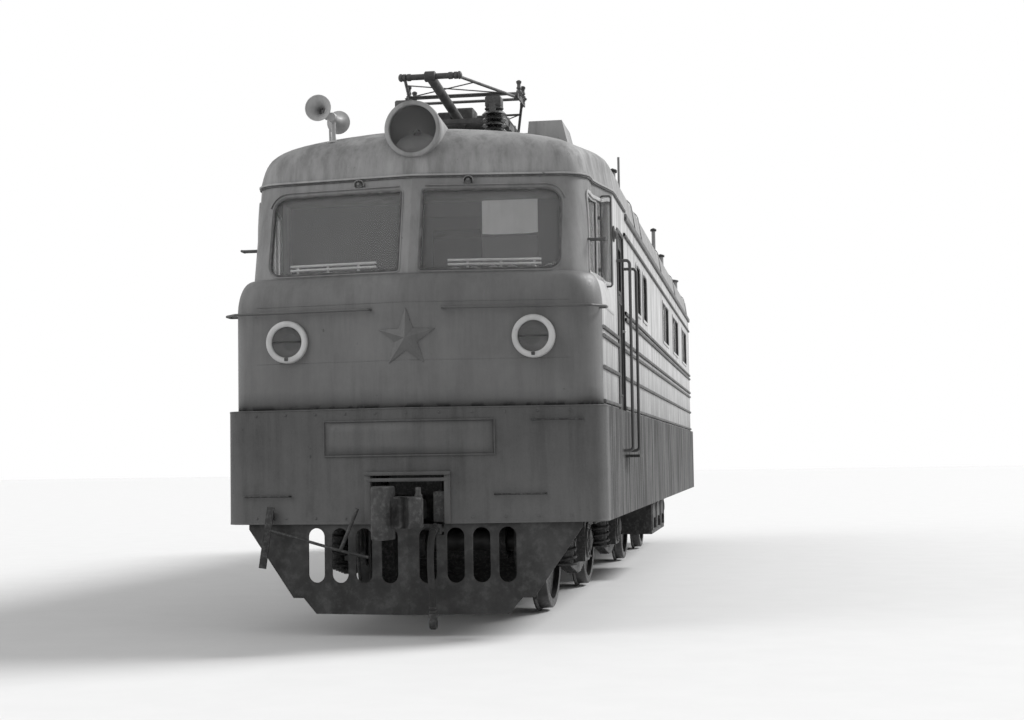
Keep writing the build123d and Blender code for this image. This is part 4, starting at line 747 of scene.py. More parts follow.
class LOCO_OT_stage(Operator):
    """Floor, backdrop colour, lights and the camera at the photograph's place"""
    bl_idname = "loco.stage"
    bl_label = "Stage"

    def execute(self, context):
        settings = context.scene.loco_stage
        half = settings.floor_half
        points, faces = panel(np.array([-half, -half, 0]), X * 2 * half, Y * 2 * half)
        mesh = bpy.data.meshes.new("floor")
        mesh.from_pydata(points.tolist(), [], faces[0].tolist())
        floor = bpy.data.objects.new("floor", mesh)
        context.scene.collection.objects.link(floor)
        material, tree, shader = new_material("pale_floor")
        speckle = noise(tree, 2.0, 5, 0.6)
        feed(tree, shader, Base_Color=mixed(tree, speckle, grey(0.66), grey(0.72)), Roughness=0.9)
        mesh.materials.append(material)
        self.lights(context, settings)
        self.camera(context)
        return {"FINISHED"}

    def lights(self, context, settings):
        """A soft key from the right, a weak one from the front, and a world that shows white to the
        camera; the angles are azimuth, height and spread in degrees."""
        for name, azimuth, height, spread, power in (("key_light", 127, 38, 20, settings.key),
                                                     ("front_light", -58, 32, 50, settings.front)):
            data = bpy.data.lights.new(name, "SUN")
            data.energy = power
            data.angle = math.radians(spread)
            light = bpy.data.objects.new(name, data)
            light.rotation_euler = (math.radians(90 - height), 0, math.radians(azimuth))
            context.scene.collection.objects.link(light)
        world = bpy.data.worlds.new("plain_world")
        context.scene.world = world
        world.use_nodes = True
        tree = world.node_tree
        tree.nodes.clear()
        rays = add_node(tree, "ShaderNodeLightPath").outputs
        seen = maths(tree, "MAXIMUM", rays["Is Camera Ray"], rays["Is Transmission Ray"])
        both = add_node(tree, "ShaderNodeMixShader", Fac=maths(tree, "MAXIMUM", seen, rays["Is Glossy Ray"]))
        for socket, strength in zip(both.inputs[1:], (settings.fill, 1.0)):
            light = add_node(tree, "ShaderNodeBackground", Color=grey(1.0), Strength=strength)
            tree.links.new(light.outputs[0], socket)
        add_node(tree, "ShaderNodeOutputWorld", Surface=both.outputs[0])
        context.scene.view_settings.view_transform = "Standard"

    def camera(self, context):
        """Camera axes from yaw, pitch and roll: forward, right and up as unit vectors."""
        view = context.scene.loco_camera
        yaw, pitch, roll = view.yaw, view.pitch, view.roll
        forward = np.array([-math.sin(yaw) * math.cos(pitch), math.cos(yaw) * math.cos(pitch),
                            math.sin(pitch)])
        right = np.array([math.cos(yaw), math.sin(yaw), 0])
        up = np.cross(right, forward)
        data = bpy.data.cameras.new("camera")
        data.lens = view.lens
        data.sensor_width = 36
        data.clip_end = 1000
        camera = bpy.data.objects.new("camera", data)
        matrix = np.eye(4)
        matrix[:3, 0] = math.cos(roll) * right + math.sin(roll) * up
        matrix[:3, 1] = -math.sin(roll) * right + math.cos(roll) * up
        matrix[:3, 2] = -forward
        matrix[:3, 3] = view.place
        camera.matrix_world = Matrix(matrix.tolist())
        context.scene.collection.objects.link(camera)
        context.scene.camera = camera


# Cords

HOSE_X = 0.235
HOSE_FOOT = 7.6
# Beyond the body end, height above the rail
HOSE_ROUTE = [(0.070, 0.830), (0.150, 0.800), (0.215, 0.725), (0.235, 0.620), (0.225, 0.510),
              (0.200, 0.400), (0.170, 0.290), (0.150, 0.185)]
HOSE_DIAMETER = 0.054


class LOCO_OT_hoses(Operator):
    """Two free brake hoses with their clamps and coupling heads"""
    bl_idname = "loco.hoses"
    bl_label = "Brake hoses"

    def execute(self, context):
        for name, end in ENDS:
            route = np.array([(-end * HOSE_X, end * (HOSE_FOOT + beyond), above(height))
                              for beyond, height in HOSE_ROUTE])
            curve = bpy.data.curves.new(f"hose_{name}", "CURVE")
            curve.dimensions = "3D"
            spline = curve.splines.new("NURBS")
            spline.points.add(len(route) - 1)
            spline.points.foreach_set("co", np.hstack([route, np.ones((len(route), 1))]).ravel())
            spline.order_u = 3
            spline.use_endpoint_u = True
            curve.bevel_depth = HOSE_DIAMETER / 2
            curve.bevel_resolution = 6
            curve.resolution_u = 8
            curve.use_fill_caps = True
            curve.materials.append(MATERIALS["rubber"])
            hose = bpy.data.objects.new(f"hose_{name}", curve)
            context.scene.collection.objects.link(hose)
            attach(hose, "carbody")
            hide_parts(f"brake_hose_{name}")
            head = self.head(name, route)
            self.clamps(name, route)
        return {"FINISHED"}

    def head(self, name, route):
        """Coupling head: a collar, a neck and a flat-faced cup turned to the side, by lathe profiles."""
        tip = route[-1]
        down = unit(tip - route[-2])
        collar = lathe([(0, 0), (0, 0.034), (0.006, 0.037), (0.040, 0.037), (0.044, 0.032),
                        (0.064, 0.032), (0.064, 0)], tip, down)
        across = unit(np.cross(down, X))
        centre = tip + down * 0.088
        cup = lathe([(-0.030, 0), (-0.030, 0.038), (-0.022, 0.046), (0.018, 0.046), (0.026, 0.040),
                     (0.026, 0.030), (0.014, 0.026), (0.014, 0)], centre, X)
        lug = bar(centre + across * 0.02, centre + across * 0.052 + down * 0.01, 0.034, 0.022, X)
        return add_piece(f"hose_head_{name}", [collar, cup, lug], "cast",
                         replaces=["hose_heads"] if name == "front" else [])

    def clamps(self, name, route):
        """Two clamp bands round each end of the hose: short rings along its first and last run."""
        band = [(-0.008, 0.0275), (-0.008, 0.031), (0.008, 0.031), (0.008, 0.0275)]
        rings = []
        for start, toward, shares in ((route[0], route[1], (0.15, 0.55)),
                                      (route[-1], route[-2], (0.12, 0.4))):
            way = toward - start
            rings += [lathe(band, start + way * share, way) for share in shares]
        add_piece(f"hose_clamps_{name}", rings, "cast", keep_faces=True)


# Cab shell


def plan(half_width, set_back, radius, rear, full_half_width=None, side=10):
    """XY points of the raked front from left rear to right rear.

    Each half is a straight front line, a corner arc tangent to it and to the side, and the
    side itself, which eases out to a full half width over the length of the taper.
    """
    rake = math.atan(RAKE)
    turn = np.pi / 2 - rake
    reach = radius * math.tan(turn / 2)
    nose = back(set_back)
    corner = np.array([half_width, nose + half_width * RAKE])
    centre = np.array([half_width - radius, corner[1] + reach])
    front_end = corner - reach * np.array([math.cos(rake), math.sin(rake)])
    share = np.linspace(0, 1, 10)[:, None]
    front_line = np.array([[0, nose]]) * (1 - share) + front_end * share
    angle = np.linspace(-turn, 0, 8)
    bend = centre + radius * points_of(np.cos(angle), np.sin(angle))
    stations = np.linspace(centre[1], back(rear), side)
    width = np.interp(stations, [back(TAPER_START), back(TAPER_END)],
                      [half_width, full_half_width or half_width])
    flank = points_of(width, stations)
    right = np.concatenate([front_line[1:], bend[1:-1], flank])
    return np.concatenate([right[::-1] * [-1, 1], [[0, nose]], right])


class LOCO_OT_nose(Operator):
    """Mid panel of the cab front with its rolled shoulder"""
    bl_idname = "loco.nose"
    bl_label = "Cab nose"

    def execute(self, context):
        """Rows go up the panel, then round a quarter ellipse: rise = sine, inset = 1 - cosine."""
        low, high, top = above(1.80), above(2.62), above(2.90)
        depth = BAND_SET_BACK - NOSE_SET_BACK
        outline = plan(WALL, NOSE_SET_BACK, CORNER, 0.52)
        lower = np.array([level(outline, z) for z in np.linspace(low, high, 6)])
        rows = []
        for turn in np.linspace(0, np.pi / 2, 14):
            inset = depth * (1 - math.cos(turn))
            outline = plan(WALL - inset, NOSE_SET_BACK + inset, CORNER, TAPER_END, WALL)
            rows.append(level(outline, high + (top - high) * math.sin(turn)))
        add_piece("cab_nose_panel", [grid(lower), grid(np.array(rows))], "nose", replaces=["cab_nose"],
                  solidify=0.05)
        self.seams()
        self.apron_trim()
        return {"FINISHED"}

    def seams(self):
        """Two weld beads across the mid panel: a circle carried along the raked face."""
        x = np.linspace(-1.30, 1.30, 60)
        beads = [carried(circle(0.0035, 6), raked(x, NOSE_SET_BACK, -0.001, height), Z)
                 for height in (2.185, 2.655)]
        add_piece("nose_weld_seams", beads, "body")

    def apron_trim(self):
        """Beads along the apron's edges, grab handles, a rim round the coupler opening, and bolts."""
        outline = plan(SKIRT - 0.004, 0.004, 0.178, 0.45)
        beads = [carried(rounded(0.016, 0.014, 0.005), level(outline, above(1.797)), Z)]
        for half in np.split(level(outline, above(0.878)), [len(outline) // 2]):
            beside_opening = half[np.abs(half[:, 0]) > 0.30]
            beads.append(carried(rounded(0.012, 0.016), beside_opening, Z))
        add_piece("apron_beads", beads, "apron")
        grip = np.array([0, 0.045, 0.045, 0])
        handles = []
        for left, right, height in ((1.0, 1.4, 1.69), (0.7, 1.1, 1.10), (-1.4, -1.0, 1.10)):
            path = raked([left, left, right, right], 0, grip, height)
            handles.append(bent(path, 0.02, 0.008))
        add_piece("apron_grips", handles, "black")
        y = face_y(0.3, 0) - 0.012
        rim = [bar((side * 0.325, y, above(0.875)), (side * 0.325, y, above(1.27)), 0.05, 0.030, Y)
               for side in SIDES]
        x = np.linspace(-0.35, 0.35, 9)
        rim += [carried(rounded(0.04, 0.030, 0.006), raked(x, 0, proud, height), Z)
                for height, proud in ((1.275, 0.020), (1.225, 0.012))]
        add_piece("coupler_opening_rim", rim, "apron")
        x = np.arange(-1.30, 1.31, 0.26)
        places = [raked(x, 0, 0.001, 1.76), raked(x[np.abs(x) > 0.45], 0, 0.001, 0.92)]
        add_piece("apron_bolts", domes(np.concatenate(places), -Y, 0.011), "apron")


# How far each part of the roof's section draws in, and how high it rises
SIDE_INSET, SIDE_RISE = 0.04, 0.24
SHOULDER_INSET, SHOULDER_RISE = 0.19, 0.13
CROWN_RISE = 0.22


def roof_inset(rise):
    """How far the roof's side stands in: an even lean, a quarter ellipse, then the crown's circle."""
    high = SIDE_RISE + SHOULDER_RISE
    half = WALL - SIDE_INSET - SHOULDER_INSET
    radius = (half ** 2 + CROWN_RISE ** 2) / (2 * CROWN_RISE)
    if rise <= SIDE_RISE:
        return SIDE_INSET * rise / SIDE_RISE
    if rise <= high:
        share = (rise - SIDE_RISE) / SHOULDER_RISE
        return SIDE_INSET + SHOULDER_INSET * (1 - math.sqrt(1 - share ** 2))
    return WALL - math.sqrt(max(2 * radius * (high + CROWN_RISE - rise), 0))


class LOCO_OT_cab_roof(Operator):
    """Domed cab roof cap with its drip rail and seal"""
    bl_idname = "loco.cab_roof"
    bl_label = "Cab roof"

    # Inset of the front, share of the rise
    dome = [(0, 0), (0.02, 0.28), (0.07, 0.45), (0.155, 0.60), (0.28, 0.72), (0.50, 0.84), (0.91, 0.93),
            (1.15, 0.985), (1.22, 1.0)]
    rounding = 0.24

    def outline(self, rise, front_inset):
        """Level plan: front line, side and taper, with each corner rounded by a quadratic curve."""
        inset = roof_inset(rise)
        full = WALL - inset
        near = max(min(0.05, full), min(full, BAND - inset / 2 - 1.6 * front_inset))
        nose = back(GUTTER_SET_BACK + front_inset)
        corner = np.array([near, nose + near * RAKE])
        bend_y = max(back(TAPER_START), corner[1] + 1.2 * min(self.rounding, near / 2))
        bend_x = np.interp(bend_y, [corner[1], back(TAPER_END)], [near, full])
        route = [(0, nose), corner, (min(bend_x, BAND - inset), bend_y), (full, back(TAPER_END)),
                 (full, back(BACK_OF_CAB))]
        right = smooth_path(route, self.rounding, 8)
        return np.concatenate([right[::-1] * [-1, 1], right[1:]])

    def execute(self, context):
        """Level plans stacked along the dome's side profile, smoothed, and closed below and behind."""
        total = SIDE_RISE + SHOULDER_RISE + CROWN_RISE
        profile = smooth_path([(inset, share * total) for inset, share in self.dome], 9, 4)
        rows = np.array([level(self.outline(rise, front_inset), above(GUTTER) + rise)
                         for front_inset, rise in profile])
        points, faces = grid(rows)
        index = np.arange(len(points)).reshape(rows.shape[:2])
        faces += [index[0][None, ::-1], np.concatenate([index[:, 0], index[::-1, -1]])[None]]
        add_piece("cab_roof_cap", (points, faces), "roof", replaces=["cab_roof"])
        outline = plan(BAND + 0.010, GUTTER_SET_BACK - 0.010, CORNER, BACK_OF_CAB, WALL + 0.010, 14)
        lip = carried(rounded(0.022, 0.016, 0.005), level(outline, above(GUTTER + 0.007)), Z)
        add_piece("cab_drip_rail", lip, "lip")
        seal = carried(circle(0.006, 8), level(outline, above(GUTTER - 0.012)), Z)
        add_piece("cab_gutter_seal", seal, "grey_seal")
        return {"FINISHED"}


# Edges of the right windscreen across and above the rail head, its corners, and its normal
WINDSCREEN = {"inner": 0.095, "outer": 1.215, "low": 2.93, "high": 3.60}
WINDSCREEN_CORNERS = [0.12, 0.015, 0.015, 0.09]
NORMAL_RIGHT = unit(np.array([RAKE, -1.0, LEAN]))


def windscreen_y(x, z):
    """Y of the windscreen face, which turns round the corner's arc at its outer edge."""
    run = BAND - CORNER_REACH * math.cos(math.atan(RAKE))
    beyond = np.clip(np.abs(x) - run, 0, None)
    return band_y(x, z) + 0.5 * beyond ** 2 / CORNER


def windscreen_path(grow, proud):
    """Outline of the right windscreen on the raked face, grown in its plane and moved out of it."""
    width = WINDSCREEN["outer"] - WINDSCREEN["inner"]
    height = WINDSCREEN["high"] - WINDSCREEN["low"]
    radii = [max(radius + grow, 0.004) for radius in WINDSCREEN_CORNERS]
    flat = denser(rounded(width + 2 * grow, height + 2 * grow, radii, 7), 0.12)
    x = flat[:, 0] + (WINDSCREEN["inner"] + WINDSCREEN["outer"]) / 2
    z = flat[:, 1] + above((WINDSCREEN["low"] + WINDSCREEN["high"]) / 2)
    return points_of(x, windscreen_y(x, z), z) + NORMAL_RIGHT * proud


class LOCO_OT_windscreens(Operator):
    """Seals, frames and rain channels of the windscreens, with the heater bars behind them"""
    bl_idname = "loco.windscreens"
    bl_label = "Windscreens"

    def execute(self, context):
        for name, section, grow, proud, finish in (
                ("windscreen_seals", rounded(0.015, 0.014), 0.003, 0, "grey_seal"),
                ("windscreen_frames", rounded(0.010, 0.008, 0.003), 0.022, 0.001, "band")):
            ring = carried(section, windscreen_path(grow, proud), NORMAL_RIGHT, closed=True)
            add_piece(name, ring, finish, pair=True)
        self.channels()
        self.wiper_heads()
        self.heater_bars()
        return {"FINISHED"}

    def channels(self):
        """Rain channel over each windscreen: along the top and down past the outer corner."""
        outline = windscreen_path(0.045, 0.006)
        corner = outline[outline[:, 2] > above(WINDSCREEN["high"] - 0.10)]
        path = corner[corner[:, 0] > WINDSCREEN["inner"] + 0.01]
        strip = carried(rounded(0.010, 0.016, 0.003), path, NORMAL_RIGHT)
        add_piece("windscreen_rain_channels", strip, "band", pair=True)

    def wiper_heads(self):
        """A wiper spindle boss above each windscreen, by lathe, under a hood carried round an arc."""
        place = np.array([0.46, band_y(0.46, above(3.672)), above(3.672)])
        boss = lathe([(-0.004, 0.030), (0.016, 0.028), (0.026, 0.020), (0.036, 0.014), (0.048, 0.012),
                      (0.048, 0)], place, NORMAL_RIGHT)
        turn = np.linspace(-0.25, np.pi + 0.25, 13)
        arch = place + 0.040 * (np.cos(turn)[:, None] * X + np.sin(turn)[:, None] * Z) + NORMAL_RIGHT * 0.012
        hood = carried(rounded(0.008, 0.040, 0.003), arch, NORMAL_RIGHT)
        add_piece("wiper_spindles", boss, "body", pair=True)
        add_piece("wiper_hoods", hood, "band", pair=True)

    def heater_bars(self):
        """Pairs of heater tubes behind the lower edge of each windscreen, with brackets."""
        shapes = [tube(raked([0.30, 1.06], BAND_SET_BACK, -0.115, height), 0.011, Z, 10)
                  for height in (2.975, 3.010)]
        for x in (0.46, 0.73, 1.0):
            y = face_y(x, BAND_SET_BACK) + 0.127
            shapes.append(bar((x, y, above(2.905)), (x, y, above(3.02)), 0.022, 0.006, Y))
        x, z, half = 0.62, above(2.935), 0.13
        y = face_y(x, BAND_SET_BACK) + 0.13
        shapes.append(bar((x - half, y, z), (x + half, y, z), 0.05, 0.025))
        add_piece("heater_bars", shapes, "trim", pair=True)


# Side walls

# Edges of each side window behind the apron, and of all of them above the rail head
SIDE_WINDOWS = [(4.06, 4.63), (4.95, 5.55), (8.32, 9.50), (10.51, 11.83), (12.95, 14.19)]
SIDE_WINDOW = (2.87, 3.37)
# The cab side window's edges in the same two ways, the doorway's edges and the door panel's X
CAB_WINDOW = (0.70, 1.50, 2.93, 3.59)
DOORWAY = (1.95, 2.52)
DOOR_FACE = WALL - 0.013
FLOOR = 1.80
# Middle of each wall rib above the floor: along the whole wall, and behind the doorway only
FULL_RIBS = [0.65, 0.58, 0.32, 0.04]
REAR_RIBS = [0.94, 0.88, 1.69]
WALL_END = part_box("wall_left")[1].y - FRONT


def wall_window(start, finish, low, high, surface, profile, radii, grow=0.0):
    """A profile carried round a side window; surface is its X, or X as a function of Y and Z."""
    flat = denser(rounded(finish - start + 2 * grow, high - low + 2 * grow, radii, 5), 0.10)
    y = flat[:, 0] + back((start + finish) / 2)
    z = flat[:, 1] + above((low + high) / 2)
    x = surface(y, z) if callable(surface) else np.full(len(flat), surface)
    return carried(profile, points_of(x, y, z), X, closed=True)


class LOCO_OT_side_trim(Operator):
    """Window frames, cab side windows, side lamps, door furniture, rain gutters and rib sections"""
    bl_idname = "loco.side_trim"
    bl_label = "Side trim"

    def execute(self, context):
        band, seal = rounded(0.034, 0.014), rounded(0.018, 0.020, 0.005)
        frames, seals = [], []
        for number, (start, finish) in enumerate(SIDE_WINDOWS):
            top = 0.09 if number < 2 else 0.03
            frames.append(wall_window(start, finish, *SIDE_WINDOW, WALL + 0.004, band,
                                      [top, top, 0.03, 0.03], 0.014))
            seals.append(wall_window(start, finish, *SIDE_WINDOW, WALL - 0.01, seal, 0.02, -0.004))
            if finish - start > 1:
                low, high = (spot(WALL - 0.006, (start + finish) / 2, edge) for edge in SIDE_WINDOW)
                frames.append(bar(low, high, 0.03, 0.012, X))
        add_piece("side_window_frames", frames, "wall", pair=True)
        add_piece("side_window_seals", seals, "seal", pair=True)
        self.cab_windows()
        self.side_lamps()
        self.doors()
        self.gutters()
        self.ribs()
        return {"FINISHED"}

    def cab_windows(self):
        """Sliding cab side window: an outer frame and two sashes, one behind the other."""
        start, finish, low, high = CAB_WINDOW
        outer = wall_window(start, finish, low, high, lambda y, z: band_x(y, z) + 0.003,
                            rounded(0.030, 0.014), 0.04, 0.014)
        add_piece("cab_side_window_frames", outer, "wall", pair=True)
        thin = rounded(0.024, 0.016)
        sashes = [wall_window(first, last, low + 0.01, high - 0.01, surface, thin, 0.03)
                  for first, last, surface in ((start + 0.02, 1.16, lambda y, z: band_x(y, z) - 0.012),
                                               (1.14, finish - 0.01, lambda y, z: band_x(y, z) - 0.036))]
        add_piece("cab_side_window_sashes", sashes, "bright", pair=True)

    def side_lamps(self):
        """Half-round marker lamp beside each cab window: a shallow dome by lathe."""
        profile = np.concatenate([[(0, 0.072), (0.012, 0.072), (0.014, 0.056)], cap(0.040, 0.055, 7)[1:]])
        lamp = lathe(profile, spot(WALL - 0.002, 1.63, 3.36), X, 28)
        add_piece("side_marker_lamps", lamp, "rib", pair=True)

    def doors(self):
        """Door panels, handles and door glass, which ride on the doors; the frames stay on the wall."""
        start, end = DOORWAY
        low, high = 1.95, 2.80
        first, last = start + 0.09, end - 0.09
        ribs = [bar(spot(DOOR_FACE, first, height), spot(DOOR_FACE, last, height), 0.012, 0.02)
                for height in (low, high)]
        ribs += [bar(spot(DOOR_FACE, depth, low), spot(DOOR_FACE, depth, high), 0.012, 0.02, X)
                 for depth in (first, last)]
        window = wall_window(start + 0.115, end - 0.115, 2.90, 3.30, WALL - 0.012,
                             rounded(0.03, 0.014), 0.05, 0.008)
        glass = panel(spot(WALL - 0.035, start + 0.11, 2.895), Y * 0.35, Z * 0.41)
        knob = lathe([(0, 0), (0, 0.026), (0.010, 0.024), (0.010, 0.012), (0.040, 0.010), (0.040, 0)],
                     spot(WALL - 0.016, end - 0.07, 2.55), X, 20)
        path = [spot(WALL + 0.022, end - 0.07, 2.55), spot(WALL + 0.028, end - 0.10, 2.55),
                spot(WALL + 0.024, end - 0.19, 2.545)]
        lever = bent(path, 0.02, 0.008)
        jamb = wall_window(start, end, FLOOR, 3.43, WALL + 0.002, rounded(0.040, 0.018, 0.005), 0.03, 0.014)
        # The door ribs take the dark door paint and the jamb frame the dark rib paint: painted shade.
        parts = {"ribs": ("door", together(ribs + [window])), "glass": ("glass", glass),
                 "handle": ("bright", together([knob, lever])), "frame": ("rib", jamb)}
        for name in ("left", "right"):
            for part, (finish, shape) in parts.items():
                add_piece(f"door_{part}_{name}", mirrored(shape) if name == "left" else shape, finish,
                          "carbody" if part == "frame" else f"cab_door_{name}",
                          solidify=0.006 if part == "glass" else 0.0)

    def gutters(self):
        """Side gutters from the cab to the rear: an L-shaped lip carried straight back, very dark for the
        shadow under it (painted shadow).
        """
        profile = np.array([(-0.014, -0.042), (0.008, -0.042), (0.016, -0.034), (0.016, 0.012),
                            (0.010, 0.012), (0.010, -0.006), (-0.014, -0.006)])
        path = [spot(WALL + 0.008, BACK_OF_CAB, 3.69), (WALL + 0.008, REAR, above(3.69))]
        add_piece("side_gutters", carried(profile, path, Z), "shaded_gutter", pair=True)

    def ribs(self):
        """Rib sections over the wall's ribs, dark to stand in for the shade along each rib (painted shade):
        a bar with rounded edges for each length.
        """
        profile = rounded(0.024, 0.032, [0.008, 0.003, 0.003, 0.008])
        shapes = []
        for heights, start, finish in ((FULL_RIBS, 0.53, DOORWAY[0] - 0.02),
                                       (FULL_RIBS, DOORWAY[1] + 0.02, WALL_END),
                                       (REAR_RIBS, 2.65, WALL_END)):
            for height in heights:
                path = [spot(WALL + 0.009, depth, FLOOR + height) for depth in (start, finish)]
                shapes.append(carried(profile, path, Z))
        add_piece("wall_rib_sections", shapes, "rib", pair=True)


# Lamps, star and plate


class LOCO_OT_lamps(Operator):
    """Headlight, marker lamps, star and blank plate on the front"""
    bl_idname = "loco.lamps"
    bl_label = "Front lamps and star"

    def execute(self, context):
        turns = context.scene.loco_bolts.turns
        self.headlight(turns)
        self.markers(turns)
        self.star()
        self.plate()
        return {"FINISHED"}

    def headlight(self, turns):
        """Headlight housing, its rim, reflector and glass, by lathe about the lengthways axis."""
        centre = (0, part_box("headlight")[0].y, above(4.13))
        shell = [(0.10, 0.196), (0.020, 0.199), (0.020, 0.199), (0.004, 0.201), (0.0, 0.209), (0.0, 0.226),
                 (0.006, 0.236), (0.030, 0.240), (0.075, 0.240), (0.082, 0.234), (0.30, 0.229),
                 (0.60, 0.216), (0.86, 0.200), (0.88, 0.0)]
        add_piece("headlight_housing", lathe(shell, centre, Y, turns), "roof",
                  replaces=["headlight"], keep_faces=True)
        bowl = lathe(dish(0.10, 0.16, 0.196, 12), centre, Y, turns)
        add_piece("headlight_reflector", bowl, "lamp_bowl", keep_faces=True)
        glass = lathe(dish(0.030, -0.016, 0.200, 8)[::-1], centre, Y, turns)
        add_piece("headlight_glass", glass, "lens", solidify=0.006)
        bulb = [(0.245, 0), (0.245, 0.02), (0.215, 0.022), (0.19, 0.034), (0.165, 0.022), (0.155, 0)]
        add_piece("headlight_bulb", lathe(bulb, centre, Y, 20), "lens")

    def markers(self, turns):
        """Marker lamps: a rounded ring, a dark bowl, a lens and a clip at the bottom."""
        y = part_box("marker_lamps")[0].y
        centre = (LAMP_X, y, above(LAMP_HEIGHT))
        angle = np.linspace(0, np.pi, 9)
        rim = points_of(0.016 - 0.016 * np.sin(angle), 0.150 + 0.024 * np.cos(angle))
        ring = np.concatenate([[(0.075, 0.174)], rim, [(0.060, 0.126)]])
        add_piece("marker_rings", lathe(ring, centre, Y, turns), "trim", replaces=["marker_lamps"],
                  pair=True, keep_faces=True)
        bowl = lathe(dish(0.030, 0.05, 0.127, 9), centre, Y, turns)
        add_piece("marker_bowls", bowl, "lamp_bowl", pair=True, keep_faces=True)
        glass = lathe(dish(0.026, -0.012, 0.127, 9), centre, Y, turns)
        add_piece("marker_glasses", glass, "lens", pair=True, solidify=0.004)
        wire_y, wire_z, clip_y = y + 0.024, above(2.362), y + 0.004
        bars = [bar((LAMP_X - 0.118, wire_y, wire_z), (LAMP_X + 0.118, wire_y, wire_z), 0.008, 0.014),
                bar((LAMP_X, clip_y, above(2.204)), (LAMP_X, clip_y, above(2.232)), 0.03, 0.024, Y)]
        add_piece("marker_bars", bars, "cast", pair=True)

    def star(self):
        """Five-pointed star in relief: ten outline points at two radii, ridges meeting at its middle."""
        ring = np.arange(10)
        turn = np.radians(90 + 36 * ring)
        reach = np.where(ring % 2 == 0, 0.245, 0.098)
        x, z = reach * np.cos(turn), reach * np.sin(turn) + above(LAMP_HEIGHT)
        face = points_of(x, face_y(x, NOSE_SET_BACK) + 0.004, z)
        middle = np.array([[0, back(NOSE_SET_BACK) - 0.050, above(LAMP_HEIGHT)]])
        points = np.concatenate([face, face - Y * 0.012, middle])
        after = (ring + 1) % 10
        sides = np.stack([ring, after, after + 10, ring + 10], axis=1)
        facets = np.stack([ring + 10, after + 10, np.full(10, 20)], axis=1)
        add_piece("star_relief", (points, [sides, facets]), "star", replaces=["front_star"], sharp=5.0)

    def plate(self):
        """Blank number plate: a flat panel folded along the rake, with a raised bead round it."""
        x, z = np.meshgrid(np.linspace(-0.70, 0.70, 15), np.linspace(above(1.42), above(1.70), 4))
        surface = np.stack([x, face_y(x, 0) - 0.010, z], axis=-1)
        add_piece("plate_panel", grid(surface), "plate", replaces=["number_plate"], solidify=0.012)
        edge = np.concatenate([surface[0], surface[1:-1, -1], surface[-1, ::-1], surface[-2:0:-1, 0]])
        add_piece("plate_bead", carried(rounded(0.014, 0.012), edge, Y, closed=True), "apron")


class LOCO_OT_deflectors(Operator):
    """Glazed wind deflectors beside the cab windows, the right one swung out and the left one folded back"""
    bl_idname = "loco.deflectors"
    bl_label = "Wind deflectors"

    def execute(self, context):
        width, low, high = 0.088, above(2.85), above(3.64)
        y = back(1.25)
        edge = float(band_x(y, above(3.2)))
        taper = math.atan2(WALL - BAND, TAPER_END - TAPER_START)
        folded = np.array([-math.sin(taper), math.cos(taper), 0])
        middle = Z * (low + high) / 2 + Y * y
        outline = denser(rounded(width, high - low, 0.018, 5), 0.2)
        frames, panes = [], []
        for centre, way in ((middle + X * (edge + width / 2), X), (middle - X * (edge + 0.008), folded)):
            frames.append(ring_on(outline, centre, way, Z, rounded(0.014, 0.016)))
            corner = centre - way * width / 2 - Z * (high - low) / 2
            panes.append(panel(corner, way * width, Z * (high - low)))
            for height in (3.0, 3.45):
                foot = centre - way * width / 2
                foot[2] = above(height)
                frames.append(bar(foot - X * np.sign(foot[0]) * 0.03, foot, 0.02, 0.03))
        add_piece("deflector_frames", frames, "rail", replaces=["wind_deflectors"])
        add_piece("deflector_panes", panes, "glass", solidify=0.005)
        grips = [tube([spot(BAND - 0.02, depth, 3.19), spot(1.565, depth, 3.19)], 0.010, Z, 10)
                 for depth in (0.64, 0.71)]
        grips.append(tube([spot(1.56, 0.63, 3.19), spot(1.56, 0.72, 3.19)], 0.011, Z, 10))
        add_piece("cab_window_grips", grips, "rail", pair=True)
        return {"FINISHED"}


# Roof

# Heights above the rail head of the roof gear's foot and of the crown, and the hatches' edges
ROOF_GEAR = 4.22
CROWN = 4.32
HATCH_TOP = CROWN + 0.07
HATCHES = [(5.2, 8.2), (8.5, 11.3), (11.6, 14.6)]
PANTO_X = 0.425
PANTO_Y = back(2.9)
BUSBAR_Z = above(ROOF_GEAR + 0.5)
BASE_Z = above(ROOF_GEAR + 0.352)
# Length of an arm, its slope at rest, and how far its shaft stands from the middle
ARM_LENGTH = 1.56
ARM_SLOPE = math.radians(4.8)
SHAFT_Y = 0.2


def insulator(x, y, low, high, core, reach):
    """Porcelain post of six sheds: the radius swells at once, then falls by a power of the phase."""
    sheds = 6
    phase = np.tile([0.0, 0.08, 0.12, 0.3, 0.5, 0.75, 0.98], sheds)
    number = np.repeat(np.arange(sheds), 7)
    radius = core + reach * np.where(phase == 0, 0, (1 - phase) ** 0.8)
    along = (number + phase) / sheds * (high - low)
    ends = [[(0, 0)], points_of(along, radius), [(high - low, core), (high - low, 0)]]
    return lathe(np.concatenate(ends), (x, y, low), Z, 28)


def flange(x, y, z, radius, height=0.030):
    """Cast cap with a rounded rim, by lathe."""
    profile = [(0, 0), (0, radius - 0.006), (0.006, radius), (height - 0.006, radius),
               (height, radius - 0.006), (height, 0)]
    return lathe(profile, (x, y, z), Z)


